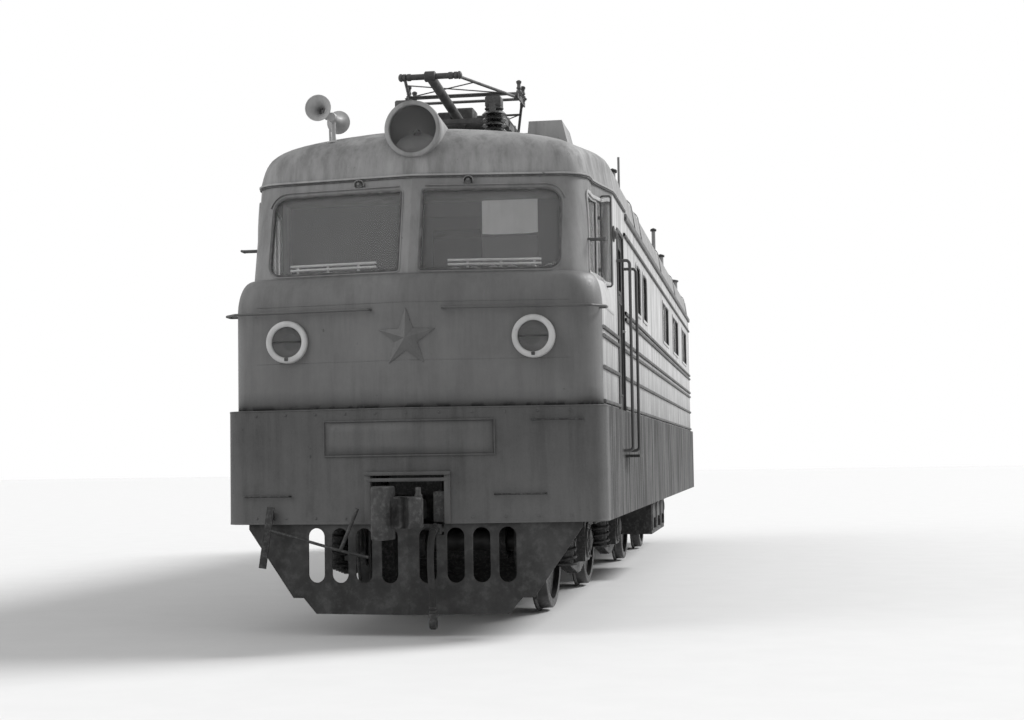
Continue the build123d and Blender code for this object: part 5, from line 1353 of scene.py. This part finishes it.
class LOCO_OT_roof_gear(Operator):
    """Horns, insulators, busbar, main switch, hatch fittings, seams and aerial on the roof"""
    bl_idname = "loco.roof_gear"
    bl_label = "Roof gear"

    def execute(self, context):
        self.horns()
        self.posts()
        self.high_voltage()
        self.hatch_fittings(context.scene.loco_bolts)
        self.seams()
        return {"FINISHED"}

    def horns(self):
        """Horn bells: the radius falls off exponentially from the mouth to the throat, inside and out."""
        shapes = []
        long_x, long_z, post_x, post_y = -0.856, ROOF_GEAR + 0.162, -0.76, 0.70
        throat, flare, wall = 0.026, 0.05, 0.006
        for x, height, mouth, small, radius in ((long_x, long_z, 0.56, 0.845, 0.113),
                                                (post_x, ROOF_GEAR + 0.095, 0.87, 0.64, 0.102)):
            length = abs(small - mouth)
            along = length * np.linspace(0, 1, 18) ** 2
            outer = throat + (radius - throat) * np.exp(-along / flare)
            outside = points_of(along, outer)[::-1]
            inside = points_of(along + 0.001, outer - wall)[:14]
            rim = [(-0.004, radius + 0.001), (-0.006, radius - 0.003), (-0.004, radius - 0.007)]
            profile = np.concatenate([[(length, 0)], outside, rim, inside, [(inside[-1, 0], 0)]])
            shapes.append(lathe(profile, spot(x, mouth, height), Y * np.sign(small - mouth), 40))
            shapes.append(lathe([(-0.012, 0), (-0.012, 0.036), (0, 0.042), (0.034, 0.042), (0.044, 0.034),
                                 (0.044, 0)], spot(x, small, height), Y))
        post = [(0, 0), (0, 0.055), (0.012, 0.055), (0.022, 0.026), (0.06, 0.019), (0.235, 0.019),
                (0.235, 0)]
        shapes.append(lathe(post, spot(post_x, post_y, 4.10), Z))
        arm_z = ROOF_GEAR + 0.125
        shapes.append(bar(spot(-0.866, post_y, arm_z), spot(-0.750, post_y, arm_z), 0.04, 0.03))
        pipe = [spot(long_x, 0.845, long_z), spot(long_x, 0.93, long_z), spot(long_x, 0.95, 4.16)]
        shapes.append(bent(pipe, 0.05, 0.009, X))
        add_piece("horn_bells", shapes, "horn", replaces=["horns"])

    def posts(self):
        """Four insulators under the pantograph with their cast caps and brackets."""
        top = BASE_Z + 0.035
        posts, caps = [], []
        for x in (-PANTO_X, PANTO_X):
            for y in (PANTO_Y - 0.9, PANTO_Y + 0.9):
                posts.append(insulator(x, y, above(CROWN - 0.03), top, 0.058, 0.060))
                caps += [flange(x, y, top - 0.004, 0.088, 0.020),
                         flange(x, y, above(CROWN - 0.045), 0.11, 0.04),
                         bar((x, y, top + 0.012), (x, y, top + 0.115), 0.150, 0.150, Y, 0.012)]
        add_piece("pantograph_posts", posts, "porcelain", replaces=["pantograph_insulators"])
        add_piece("pantograph_post_caps", caps, "panto")

    def high_voltage(self):
        """Busbar on three insulators, a ribbed main switch on two more, and the links between them."""
        posts, caps = [], []
        left, right = -0.35, 0.5
        # X, distance behind the apron and height of each foot
        for x, depth, foot in ((left, 5.0, CROWN - 0.04), (left, 6.6, HATCH_TOP), (left, 8.0, HATCH_TOP),
                               (right, 6.4, HATCH_TOP), (right, 7.4, HATCH_TOP)):
            posts.append(insulator(x, back(depth), above(foot) + 0.02, BUSBAR_Z - 0.02, 0.045, 0.055))
            caps += [flange(x, back(depth), BUSBAR_Z - 0.03, 0.06),
                     flange(x, back(depth), above(foot), 0.085)]
        share = np.linspace(0, 1, 61)
        body = points_of(0.14 + 0.72 * share, 0.052 + 0.018 * np.abs(np.sin(share * np.pi * 10)))
        switch = np.concatenate([[(0, 0), (0, 0.05), (0.1, 0.05), (0.1, 0.066), (0.13, 0.066)], body,
                                 [(0.87, 0.066), (0.9, 0.066), (0.9, 0.05), (1.0, 0.05), (1.0, 0)]])
        posts.append(lathe(switch, (right, back(6.4), BUSBAR_Z + 0.06), Y, 28))
        add_piece("high_voltage_posts", posts, "porcelain", replaces=["high_voltage_gear"])
        z = BUSBAR_Z + 0.012
        caps += [bar((left, back(4.94), z), (left, back(8.06), z), 0.06, 0.022),
                 bar((left, back(6.6), z + 0.01), (right, back(6.6), z + 0.01), 0.05, 0.02)]
        wire = [(left, back(5.0), z), (-0.40, back(4.5), z - 0.06), (-0.44, PANTO_Y + 1.05, z - 0.09)]
        caps.append(bent(wire, 0.3, 0.010, steps=8))
        add_piece("busbar", caps, "panto")

    def hatch_fittings(self, bolts):
        """Edge bands, bolts and lifting lugs of the three roof hatches; a lug is half a circle of bar."""
        bands, places, lugs = [], [], []
        turn = np.linspace(0, np.pi, 11)
        for start, finish in HATCHES:
            middle = spot(0, (start + finish) / 2, HATCH_TOP + 0.004)
            outline = denser(rounded(1.94, finish - start - 0.06, 0.03, 4), 0.5)
            bands.append(ring_on(outline, middle, X, Y, rounded(0.05, 0.012)))
            y = np.arange(back(start) + 0.1, back(finish) - 0.05, bolts.pitch)
            for x in (-0.97, 0.97):
                places.append(points_of(x, y, above(HATCH_TOP + 0.010)))
            for x in (-0.8, 0.8):
                for y in (back(start) + 0.2, back(finish) - 0.2):
                    lug = points_of(x, y + 0.05 * np.cos(turn), above(HATCH_TOP) + 0.07 * np.sin(turn))
                    lugs.append(tube(lug, 0.009, X))
        add_piece("hatch_bands", bands + lugs, "roof")
        add_piece("hatch_bolts", domes(np.concatenate(places), Z, bolts.radius), "roof")

    def seams(self):
        """Raised joints across the main roof, along its section, and the aerial on the cab's right edge."""
        rises = np.concatenate([np.linspace(0.01, 0.24, 4), 0.24 + 0.13 * np.sin(np.linspace(0.2, 1.5, 6)),
                                0.37 + 0.219 * np.linspace(0.1, 1, 12) ** 0.6])
        x = np.array([WALL - roof_inset(rise) for rise in rises])
        half = points_of(x, 0, above(GUTTER) + rises)
        section = np.concatenate([half, half[::-1] * [-1, 1, 1]])
        joints = [carried(rounded(0.010, 0.05), section + Y * back(depth), Y)
                  for depth in (4.2, 5.1, 8.35, 11.45, 14.75)]
        add_piece("roof_joints", joints, "roof")
        pots = [lathe([(0, 0), (0, 0.03), (0.02, 0.03), (0.03, 0.014), (0.12, 0.010), (0.13, 0.006),
                       (0.40, 0.004), (0.40, 0)], spot(1.40, 3.9, 4.05), Z, 12)]
        for x, depth, over, radius in ((1.40, 3.2, -0.03, 0.035), (1.40, 9.0, 0.17, 0.030),
                                       (1.40, 10.4, -0.01, 0.045), (1.37, 13.9, 0.0, 0.078)):
            pots.append(lathe([(0, 0), (0, radius + 0.01), (0.02, radius + 0.012), (0.03, radius + 0.004),
                               (0.045, 0)], (x, back(depth), above(ROOF_GEAR + over) - 0.01), Z))
        add_piece("roof_pots", pots, "black")


class LOCO_OT_pantograph(Operator):
    """Hubs, braces, contact strips, bearings and air cylinder of the pantograph, on their own bodies"""
    bl_idname = "loco.pantograph"
    bl_label = "Pantograph"

    def execute(self, context):
        shaft_z = BASE_Z + 0.04
        run, rise = ARM_LENGTH * math.cos(ARM_SLOPE), ARM_LENGTH * math.sin(ARM_SLOPE)
        elbow_z, head_z = shaft_z + rise, shaft_z + 2 * rise
        ball = np.linspace(0, np.pi, 9)
        for name, end in ENDS:
            elbow_y, shaft_y = PANTO_Y + end * (SHAFT_Y + run), PANTO_Y + end * SHAFT_Y
            hub = lathe([(-0.05, 0), (-0.05, 0.036), (-0.042, 0.047), (0.042, 0.047), (0.05, 0.036),
                         (0.05, 0)], (0, elbow_y, elbow_z), X)
            collar = [(-0.022, 0), (-0.022, 0.029), (-0.016, 0.032), (0.010, 0.032), (0.016, 0.028),
                      (0.016, 0)]
            collars = [lathe(collar, (side * 0.186, elbow_y, elbow_z), X, 20) for side in SIDES]
            levers = [bar((x, shaft_y, shaft_z), (x, shaft_y, shaft_z + 0.12), 0.05, 0.02, X)
                      for x in (-0.30, 0.30)]
            add_piece(f"arm_hubs_{name}", [hub] + collars + levers, "panto", f"pantograph_arm_{name}")
            tips = [lathe(points_of(-0.024 * np.cos(ball), 0.036 * np.sin(ball)),
                          (side * 0.262, elbow_y, elbow_z), X, 20) for side in SIDES]
            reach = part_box(f"pantograph_frame_{name}")[1].x - 0.02
            points = [np.array([side * (0.23 + (reach - 0.23) * share),
                                elbow_y + (shaft_y - elbow_y) * share, elbow_z + rise * share])
                      for side, share in ((-1, 0.3), (1, 0.8), (1, 0.3), (-1, 0.8))]
            braces = [tube(points[:2], 0.006), tube(points[2:], 0.006)]
            add_piece(f"frame_braces_{name}", tips + braces, "panto", f"pantograph_frame_{name}")
        self.head(head_z)
        self.base(shaft_z)
        return {"FINISHED"}

    def head(self, head_z):
        """Contact strips in two rows with turned-down ends, and knobs on the four uprights, by lathe."""
        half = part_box("pantograph_head")[1].x
        x = np.array([-half + 0.005, -half + 0.06, half - 0.06, half - 0.005])
        z = head_z + 0.056 - np.array([0.012, 0, 0, 0.012])
        knob = [(-0.06, 0), (-0.06, 0.024), (-0.045, 0.024), (-0.035, 0.018), (-0.012, 0.018), (0, 0.026),
                (0.016, 0.026), (0.026, 0.012), (0.026, 0)]
        foot = [(-0.02, 0), (-0.02, 0.026), (0.0, 0.030), (0.03, 0.026), (0.03, 0)]
        strips, knobs = [], []
        for y in (PANTO_Y - 0.13, PANTO_Y + 0.13):
            for shift in (-0.010, 0.010):
                strips.append(carried(rounded(0.012, 0.010, 0.003), points_of(x, y + shift, z), Z))
            for side in SIDES:
                knobs += [lathe(knob, (side * 0.545, y, head_z + 0.15), Z, 20),
                          lathe(foot, (side * 0.545, y, head_z + 0.045), Z, 20)]
        add_piece("contact_strips", strips, "contact", "pantograph_head")
        add_piece("head_knobs", knobs, "panto", "pantograph_head")

    def base(self, shaft_z):
        """Bearings of both shafts on the base beams, an air cylinder and two raising springs (helices)."""
        bearing = [(-0.034, 0.030), (-0.034, 0.058), (-0.028, 0.062), (0.028, 0.062), (0.034, 0.058),
                   (0.034, 0.030)]
        shapes = []
        for x in (-PANTO_X, PANTO_X):
            shapes += [lathe(bearing, (x, PANTO_Y + side * SHAFT_Y, shaft_z), X) for side in SIDES]
            shapes.append(bar((x, PANTO_Y - 0.98, shaft_z + 0.035), (x, PANTO_Y + 0.98, shaft_z + 0.035),
                              0.072, 0.012))
        for x, middle, width, height in ((-0.01, 0.075, 0.20, 0.24), (-0.195, 0.065, 0.14, 0.19),
                                         (0.17, 0.045, 0.10, 0.13)):
            z = shaft_z + middle
            shapes.append(bar((x, PANTO_Y - 0.13, z), (x, PANTO_Y + 0.13, z), width, height, Z, 0.015))
        cylinder = [(0, 0), (0, 0.05), (0.02, 0.05), (0.02, 0.066), (0.04, 0.070), (0.38, 0.070),
                    (0.40, 0.066), (0.40, 0.03), (0.43, 0.03), (0.43, 0)]
        shapes.append(lathe(cylinder, (-0.20, PANTO_Y + 0.30, shaft_z - 0.01), Y, 28))
        add_piece("pantograph_bearings", shapes, "panto")
        coils = 16
        angle = np.linspace(0, 2 * np.pi * coils, coils * 12)
        along = np.linspace(0.30, 0.66, len(angle))
        springs = [tube(points_of(x + 0.028 * np.cos(angle), PANTO_Y + along,
                                  shaft_z - 0.01 + 0.028 * np.sin(angle)), 0.006, Y, 6)
                   for x in (-0.33, 0.33)]
        add_piece("raising_springs", springs, "black")


# Running gear and underbody

# Y of each bogie's middle and of its two axles
AXLES = {"front": (-3.75, (-5.25, -2.25)), "rear": (3.75, (2.25, 5.25))}
AXLE_Z = above(0.625)
SPRING_X = 1.05
BRAKE_Z = above(0.98)
RESERVOIR_Z = above(0.54)


class LOCO_OT_running_gear(Operator):
    """Springs, axle-box covers, brake cylinders, rods and sand pipes of both bogies"""
    bl_idname = "loco.running_gear"
    bl_label = "Running gear"

    def execute(self, context):
        cover = [(-0.01, 0), (-0.01, 0.165), (0.012, 0.165), (0.018, 0.158), (0.018, 0.10), (0.034, 0.09),
                 (0.044, 0.05), (0.044, 0)]
        cylinder = [(0, 0), (0, 0.085), (0.02, 0.105), (0.20, 0.105), (0.21, 0.12), (0.235, 0.12),
                    (0.245, 0.09), (0.30, 0.03), (0.42, 0.022), (0.42, 0)]
        turn = np.arange(8) * np.pi / 4
        for name, (centre, axles) in AXLES.items():
            springs, covers, places, brakes = [], [], [], []
            for axle in axles:
                out = np.sign(axle - centre)
                for y in (axle - 0.58, axle + 0.58):
                    springs += [self.spring(y, AXLE_Z - 0.175, above(0.845)),
                                flange(SPRING_X, y, AXLE_Z - 0.195, 0.108, 0.02),
                                flange(SPRING_X, y, above(0.832), 0.108, 0.02)]
                covers.append(lathe(cover, (1.18, axle, AXLE_Z), X, 32))
                places.append(points_of(1.198, axle + 0.13 * np.cos(turn), AXLE_Z + 0.13 * np.sin(turn)))
                pipe = [(0.79, axle + out * 0.80, above(0.86)), (0.79, axle + out * 0.80, above(0.46)),
                        (0.79, axle + out * 0.67, above(0.14))]
                brakes += [bent(pipe, 0.12, 0.016, X, 10),
                           lathe(cylinder, (1.26, centre + out * 0.30, BRAKE_Z), Y * out, 28),
                           bar((1.15, centre + out * 0.40, BRAKE_Z), (1.20, centre + out * 0.40, BRAKE_Z),
                               0.16, 0.18),
                           bar((1.26, centre + out * 0.72, above(0.99)),
                               (1.20, centre + out * 0.74, above(0.80)), 0.05, 0.02, X)]
            for z in (above(0.80), above(0.76)):
                brakes.append(tube([(1.19, centre - 0.98, z), (1.19, centre + 0.98, z)], 0.014))
            body = f"bogie_{name}"
            add_piece(f"coil_springs_{name}", springs, "bogie", body, pair=True)
            add_piece(f"axle_box_covers_{name}", covers, "cast", body, pair=True)
            bolts = domes(np.concatenate(places), X, 0.016)
            add_piece(f"axle_box_bolts_{name}", bolts, "bogie", body, pair=True)
            add_piece(f"brake_gear_{name}", brakes, "bogie", body, pair=True)
        return {"FINISHED"}

    def spring(self, y, low, high):
        """Helix: the height grows evenly, but not in the last half turn at either end, which lies flat."""
        turns = np.linspace(0, 2 * np.pi * 6, 6 * 16)
        share = np.clip((turns - np.pi) / (2 * np.pi * 5), 0, 1)
        rise = low + 0.014 + (high - low - 0.028) * share
        path = points_of(SPRING_X + 0.088 * np.cos(turns), y + 0.088 * np.sin(turns), rise)
        return tube(path, 0.014)


class LOCO_OT_underbody(Operator):
    """Battery-box doors, reservoir ends and straps between the bogies"""
    bl_idname = "loco.underbody"
    bl_label = "Underbody"

    def execute(self, context):
        doors, latches = [], []
        low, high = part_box("battery_boxes")
        middle = (low.z + high.z) / 2
        face = high.x + 0.012
        outline = denser(rounded(0.62, high.z - low.z - 0.10, 0.03, 4), 0.3)
        for y in (-0.72, 0.0, 0.72):
            doors += [ring_on(outline, (high.x + 0.002, y, middle), Y, Z, rounded(0.022, 0.014)),
                      bar((high.x + 0.004, y - 0.22, middle), (high.x + 0.004, y + 0.22, middle), 0.01,
                          0.02)]
            z = high.z - 0.05
            latches += [tube([(face, hinge - 0.04, z), (face, hinge + 0.04, z)], 0.011)
                        for hinge in (y - 0.20, y + 0.20)]
            latches.append(bar((face, y, low.z + 0.06), (face, y, low.z + 0.18), 0.03, 0.016, Y))
        add_piece("battery_box_doors", doors, "black", pair=True)
        add_piece("battery_box_latches", latches, "cast", pair=True)
        strap = [(-0.02, 0.168), (-0.02, 0.176), (0.02, 0.176), (0.02, 0.168)]
        ends = []
        for x in (-0.4, 0.0, 0.4):
            for side in SIDES:
                ends += [lathe(cap(0.055, 0.166, 8), (x, side * 0.998, RESERVOIR_Z), Y * side, 32),
                         lathe(strap, (x, side * 0.7, RESERVOIR_Z), Y, 32)]
        add_piece("reservoir_ends", ends, "black")
        return {"FINISHED"}


class LOCO_OT_rear_end(Operator):
    """Folded gangway bellows, rear lamps, grab irons and the gangway door's window"""
    bl_idname = "loco.rear_end"
    bl_label = "Rear end"

    def execute(self, context):
        """Bellows: a fold profile, its reach a triangle wave of the depth, carried round the opening."""
        low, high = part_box("gangway_bellows")
        folds, thickness = 5, 0.007
        depth = np.linspace(0.012, high.y - REAR - 0.012, 2 * folds + 1)
        wave = np.where(np.arange(len(depth)) % 2 == 0, 0.012, 0.098)
        profile = np.concatenate([points_of(wave, depth), points_of(wave - thickness, depth)[::-1]])
        outline = denser(rounded(high.x * 2 - 0.22, high.z - low.z - 0.22, 0.07, 6), 0.25)
        middle = np.array([0, REAR, (low.z + high.z) / 2])
        add_piece("bellows_folds", ring_on(outline, middle, X, Z, profile * [1, -1]), "bellows",
                  replaces=["gangway_bellows"], sharp=20)
        plates = [ring_on(outline, middle * [1, 0, 1] + Y * y, X, Z, rounded(0.11, 0.016) + [0.05, 0])
                  for y in (REAR + 0.006, high.y - 0.012)]
        add_piece("bellows_frames", plates, "black")
        lamp = lathe([(0, 0), (0, 0.095), (0.05, 0.095), (0.06, 0.088), (0.06, 0.076), (0.045, 0.072),
                      (0.05, 0)], (LAMP_X, REAR, above(LAMP_HEIGHT)), Y, 32)
        irons = [bent([(1.38, REAR, above(foot)), (1.38, REAR + 0.06, above(foot)),
                       (1.38, REAR + 0.06, above(top)), (1.38, REAR, above(top))], 0.03, 0.011, X, 10)
                 for foot, top in ((1.95, 2.75), (2.95, 3.45))]
        add_piece("rear_lamps", lamp, "trim", pair=True)
        add_piece("rear_grab_irons", irons, "rail", pair=True)
        self.door_window()
        return {"FINISHED"}

    def door_window(self):
        """The gangway door's window frame and pane, and its handle by lathe; they ride on the door."""
        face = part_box("gangway_door")[1].y
        centre = np.array([0, face + 0.001, above(3.05)])
        rim = ring_on(rounded(0.36, 0.56, 0.05, 5), centre, X, Z, rounded(0.03, 0.012))
        handle = lathe([(0, 0), (0, 0.024), (0.008, 0.022), (0.008, 0.012), (0.03, 0.010), (0.034, 0)],
                       (-0.25, face - 0.001, above(2.55)), Y, 20)
        add_piece("gangway_door_trim", [rim, handle], "rail", "gangway_door")
        pane = panel(centre + np.array([-0.18, -0.001, -0.28]), X * 0.36, Z * 0.56)
        add_piece("gangway_door_pane", pane, "seal", "gangway_door", solidify=0.003)


# Cab interior

# Middle of the right seat's cushion and of its back
SEAT_X = 0.76
SEAT = spot(SEAT_X, 1.35, 2.197)
SEAT_BACK = spot(SEAT_X, 1.54, 2.55)


def pad(size):
    """A stuffed pad about the origin: a superellipsoid, each coordinate a signed power of the sphere's."""
    roundness = 0.32
    tilt = np.linspace(-np.pi / 2, np.pi / 2, 28)[:, None]
    turn = np.linspace(0, 2 * np.pi, 48, endpoint=False)[None]

    def power(value):
        return np.sign(value) * np.abs(value) ** roundness

    flat = np.abs(np.cos(tilt)) ** roundness
    x, y = flat * power(np.cos(turn)), flat * power(np.sin(turn))
    z = power(np.sin(tilt)) + 0 * turn
    # The middle swells a little more than the rim
    swell = 1 + 0.18 * (1 - x ** 2) * (1 - y ** 2)
    return np.stack([x * size[0] / 2, y * size[1] / 2, z * swell * size[2] / 2], axis=-1)


class LOCO_OT_cab(Operator):
    """Seats, desk instruments, controls and the folded door leaf in the cab"""
    bl_idname = "loco.cab"
    bl_label = "Cab interior"

    def execute(self, context):
        self.seats()
        self.desk()
        self.door_leaf()
        return {"FINISHED"}

    def seats(self):
        """Two driver's seats: stuffed cushion and back with piping round them, on turned pedestals."""
        cushion = pad((0.44, 0.42, 0.14)) + SEAT
        upright = pad((0.42, 0.60, 0.10))[..., [0, 2, 1]][:, ::-1] + SEAT_BACK
        pads = [grid(surface, close_columns=True) for surface in (cushion, upright)]
        piping = [ring_on(rounded(width, depth, 0.075, 7), centre, X, rise, circle(0.007, 8))
                  for width, depth, centre, rise in ((0.442, 0.422, SEAT, Y), (0.422, 0.602, SEAT_BACK, Z))]
        base = [(0, 0), (0, 0.17), (0.02, 0.17), (0.03, 0.06), (0.05, 0.045), (0.27, 0.045), (0.28, 0.12),
                (0.30, 0.12), (0.30, 0)]
        stands = [lathe(base, spot(SEAT_X, 1.35, 1.825), Z, 28)]
        for x in (0.70, 0.82):
            path = [spot(x, 1.30, 2.135), spot(x, 1.57, 2.135), spot(x, 1.605, 2.50)]
            stands.append(bent(path, 0.08, 0.012, X))
        add_piece("seat_pads", pads, "leather", replaces=["cab_seats"], pair=True)
        add_piece("seat_piping", piping, "seal", pair=True)
        add_piece("seat_stands", stands, "black", pair=True)

    def desk(self):
        """Sloping instrument panel with round gauges, a controller wheel, a lever and a brake valve."""
        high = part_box("driver_desk")[1]
        y, top = high.y - 0.12, high.z
        rings, faces = [], []
        tilt = np.array([0, 0.75, 0.66])
        for x in np.linspace(0.30, 1.10, 6):
            centre = (x, high.y - 0.30, top + 0.06)
            rings.append(lathe([(0, 0.045), (0, 0.060), (0.014, 0.060), (0.020, 0.052), (0.014, 0.045)],
                               centre, tilt))
            faces.append(lathe([(0.006, 0.046), (0.008, 0)], centre, tilt))
        add_piece("gauge_rings", rings, "bright", keep_faces=True)
        add_piece("gauge_faces", faces, "porcelain", keep_faces=True)
        console = bar((0.22, high.y - 0.33, top + 0.045), (1.18, high.y - 0.33, top + 0.045), 0.14, 0.09, Z,
                      0.02)
        valve = lathe([(0, 0), (0, 0.05), (0.03, 0.05), (0.05, 0.025), (0.12, 0.022), (0.13, 0.035),
                       (0.15, 0.03), (0.15, 0)], (1.12, y, top), Z)
        lever = bent([(1.12, y, top + 0.14), (1.10, high.y - 0.04, top + 0.15),
                      (1.04, high.y + 0.06, top + 0.16)], 0.05, 0.010)
        wheel_x, reach = 0.42, 0.13
        rim = circle(reach, 40) + [wheel_x, y]
        wheel = carried(circle(0.011, 8), level(rim, top + 0.09), Z, closed=True)
        hub = lathe([(0, 0), (0, 0.04), (0.02, 0.04), (0.06, 0.02), (0.09, 0.03), (0.10, 0)],
                    (wheel_x, y, top), Z, 20)
        middle = np.array([wheel_x, y, top + 0.088])
        spokes_across = [bar(middle - way * reach, middle + way * reach, 0.014, 0.008) for way in (X, Y)]
        add_piece("desk_controls", [console, valve, lever, wheel, hub] + spokes_across, "machine")

    def door_leaf(self):
        """Door leaf folded against the bulkhead, right of its doorway, with a pale panel above that glows
        faintly: painted light.
        """
        x, y = 0.585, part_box("bulkheads")[0].y - 0.022
        for name, low, high, finish in (("door_leaf", 1.84, 3.40, "machine"),
                                        ("glowing_door_leaf_panel", 3.42, 3.96, "pale")):
            leaf = bar((x, y, above(low)), (x, y, above(high)), 0.51, 0.03, Y, 0.008)
            add_piece(name, leaf, finish)


# Couplers


class LOCO_OT_couplers(Operator):
    """Cast heads of the automatic couplers, with the tall tooth, shank and lock, on the couplers' bodies"""
    bl_idname = "loco.couplers"
    bl_label = "Couplers"

    # Plan of the head and of its tall tooth: across, forward of the pulling face
    head = [(0.075, -0.33), (0.12, -0.27), (0.235, -0.15), (0.262, 0.02), (0.17, 0.08), (0.132, -0.01),
            (0.08, -0.095), (0.02, -0.05), (0.005, 0.06), (-0.03, 0.11), (-0.105, 0.11), (-0.13, 0.06),
            (-0.14, -0.15), (-0.11, -0.27), (-0.075, -0.33)]
    tooth = [(0.02, -0.05), (0.005, 0.06), (-0.03, 0.12), (-0.11, 0.12), (-0.135, 0.06), (-0.145, -0.15),
             (0.02, -0.15)]
    height = above(0.98)

    def execute(self, context):
        lock = [(0, 0), (0, 0.03), (0.02, 0.03), (0.03, 0.022), (0.075, 0.022), (0.08, 0)]
        for name, end in ENDS:
            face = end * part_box("coupler_rear")[1].y - end * 0.12
            shapes = [self.casting(self.head, 0.12, face, end), self.casting(self.tooth, 0.205, face, end),
                      bar((0, face - end * 0.30, self.height), (0, end * 7.18, self.height), 0.15, 0.16, Z,
                          0.015)]
            for z in (self.height - 0.125, self.height + 0.125):
                shapes.append(bar((end * 0.11, face - end * 0.20, z), (end * 0.02, face + end * 0.05, z),
                                  0.06, 0.03, Z, 0.008))
            shapes.append(lathe(lock, (-end * 0.20, face - end * 0.12, self.height + 0.115), Z, 16))
            add_piece(f"coupler_casting_{name}", shapes, "cast", f"coupler_{name}",
                      replaces=[f"coupler_{name}"], sharp=50)
            plates = [bar((side * 0.265, end * 7.54, above(0.885)), (side * 0.265, end * 7.54, above(1.13)),
                          0.12, 0.012, Y) for side in SIDES]
            add_piece(f"draft_side_plates_{name}", plates, "black")
        return {"FINISHED"}

    def casting(self, plan, half, face, end):
        """Stack of the plan, its corners cut twice to quarters, drawn in at the top and the bottom by a
        quarter circle."""
        outline = np.array(plan) * [-end, end] + [0, face]
        for _ in range(2):
            after = np.roll(outline, -1, axis=0)
            outline = np.stack([0.75 * outline + 0.25 * after, 0.25 * outline + 0.75 * after],
                               axis=1).reshape(-1, 2)
        angle = np.linspace(0, np.pi / 2, 5)
        edge = 0.02
        draw = np.concatenate([np.cos(angle)[::-1], np.cos(angle)]) * edge
        rise = np.concatenate([-half + edge * (1 - np.sin(angle[::-1])), half - edge * (1 - np.sin(angle))])
        way = unit(outline - outline.mean(axis=0))
        flat = outline[None] - way[None] * (edge - draw)[:, None, None]
        z = np.broadcast_to((self.height + rise)[:, None, None], flat.shape[:2] + (1,))
        points, faces = grid(np.concatenate([flat, z], axis=-1), close_columns=True)
        ring = np.arange(len(outline))
        return points, faces + [ring[None, ::-1], ring[None] + len(points) - len(outline)]


# Registration

SETTINGS = {"loco_finish": FinishSettings, "loco_camera": CameraSettings, "loco_stage": StageSettings,
            "loco_bolts": BoltSettings}
OPERATORS = [LOCO_OT_stage, LOCO_OT_hoses, LOCO_OT_nose, LOCO_OT_cab_roof, LOCO_OT_windscreens,
             LOCO_OT_side_trim, LOCO_OT_lamps, LOCO_OT_deflectors, LOCO_OT_roof_gear,
             LOCO_OT_pantograph, LOCO_OT_running_gear, LOCO_OT_underbody, LOCO_OT_rear_end, LOCO_OT_cab,
             LOCO_OT_couplers]


class LOCO_PT_panel(Panel):
    """Locomotive pieces in the 3D view's sidebar"""
    bl_label = "Locomotive"
    bl_idname = "LOCO_PT_panel"
    bl_space_type = "VIEW_3D"
    bl_region_type = "UI"
    bl_category = "Locomotive"

    def draw(self, context):
        for operator in OPERATORS:
            self.layout.operator(operator.bl_idname)


def register():
    """Registers settings, operators and the panel."""
    for name, group in SETTINGS.items():
        bpy.utils.register_class(group)
        setattr(bpy.types.Scene, name, PointerProperty(type=group))
    for kind in OPERATORS + [LOCO_PT_panel]:
        bpy.utils.register_class(kind)


def unregister():
    """Takes everything off again."""
    for kind in [LOCO_PT_panel] + OPERATORS[::-1]:
        bpy.utils.unregister_class(kind)
    for name, group in SETTINGS.items():
        delattr(bpy.types.Scene, name)
        bpy.utils.unregister_class(group)


def main():
    """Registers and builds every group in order."""
    register()
    make_materials(bpy.context.scene.loco_finish)
    dress_nodes()
    for operator in OPERATORS:
        getattr(bpy.ops.loco, operator.bl_idname.split(".")[1])()


if __name__ == "__main__":
    main()
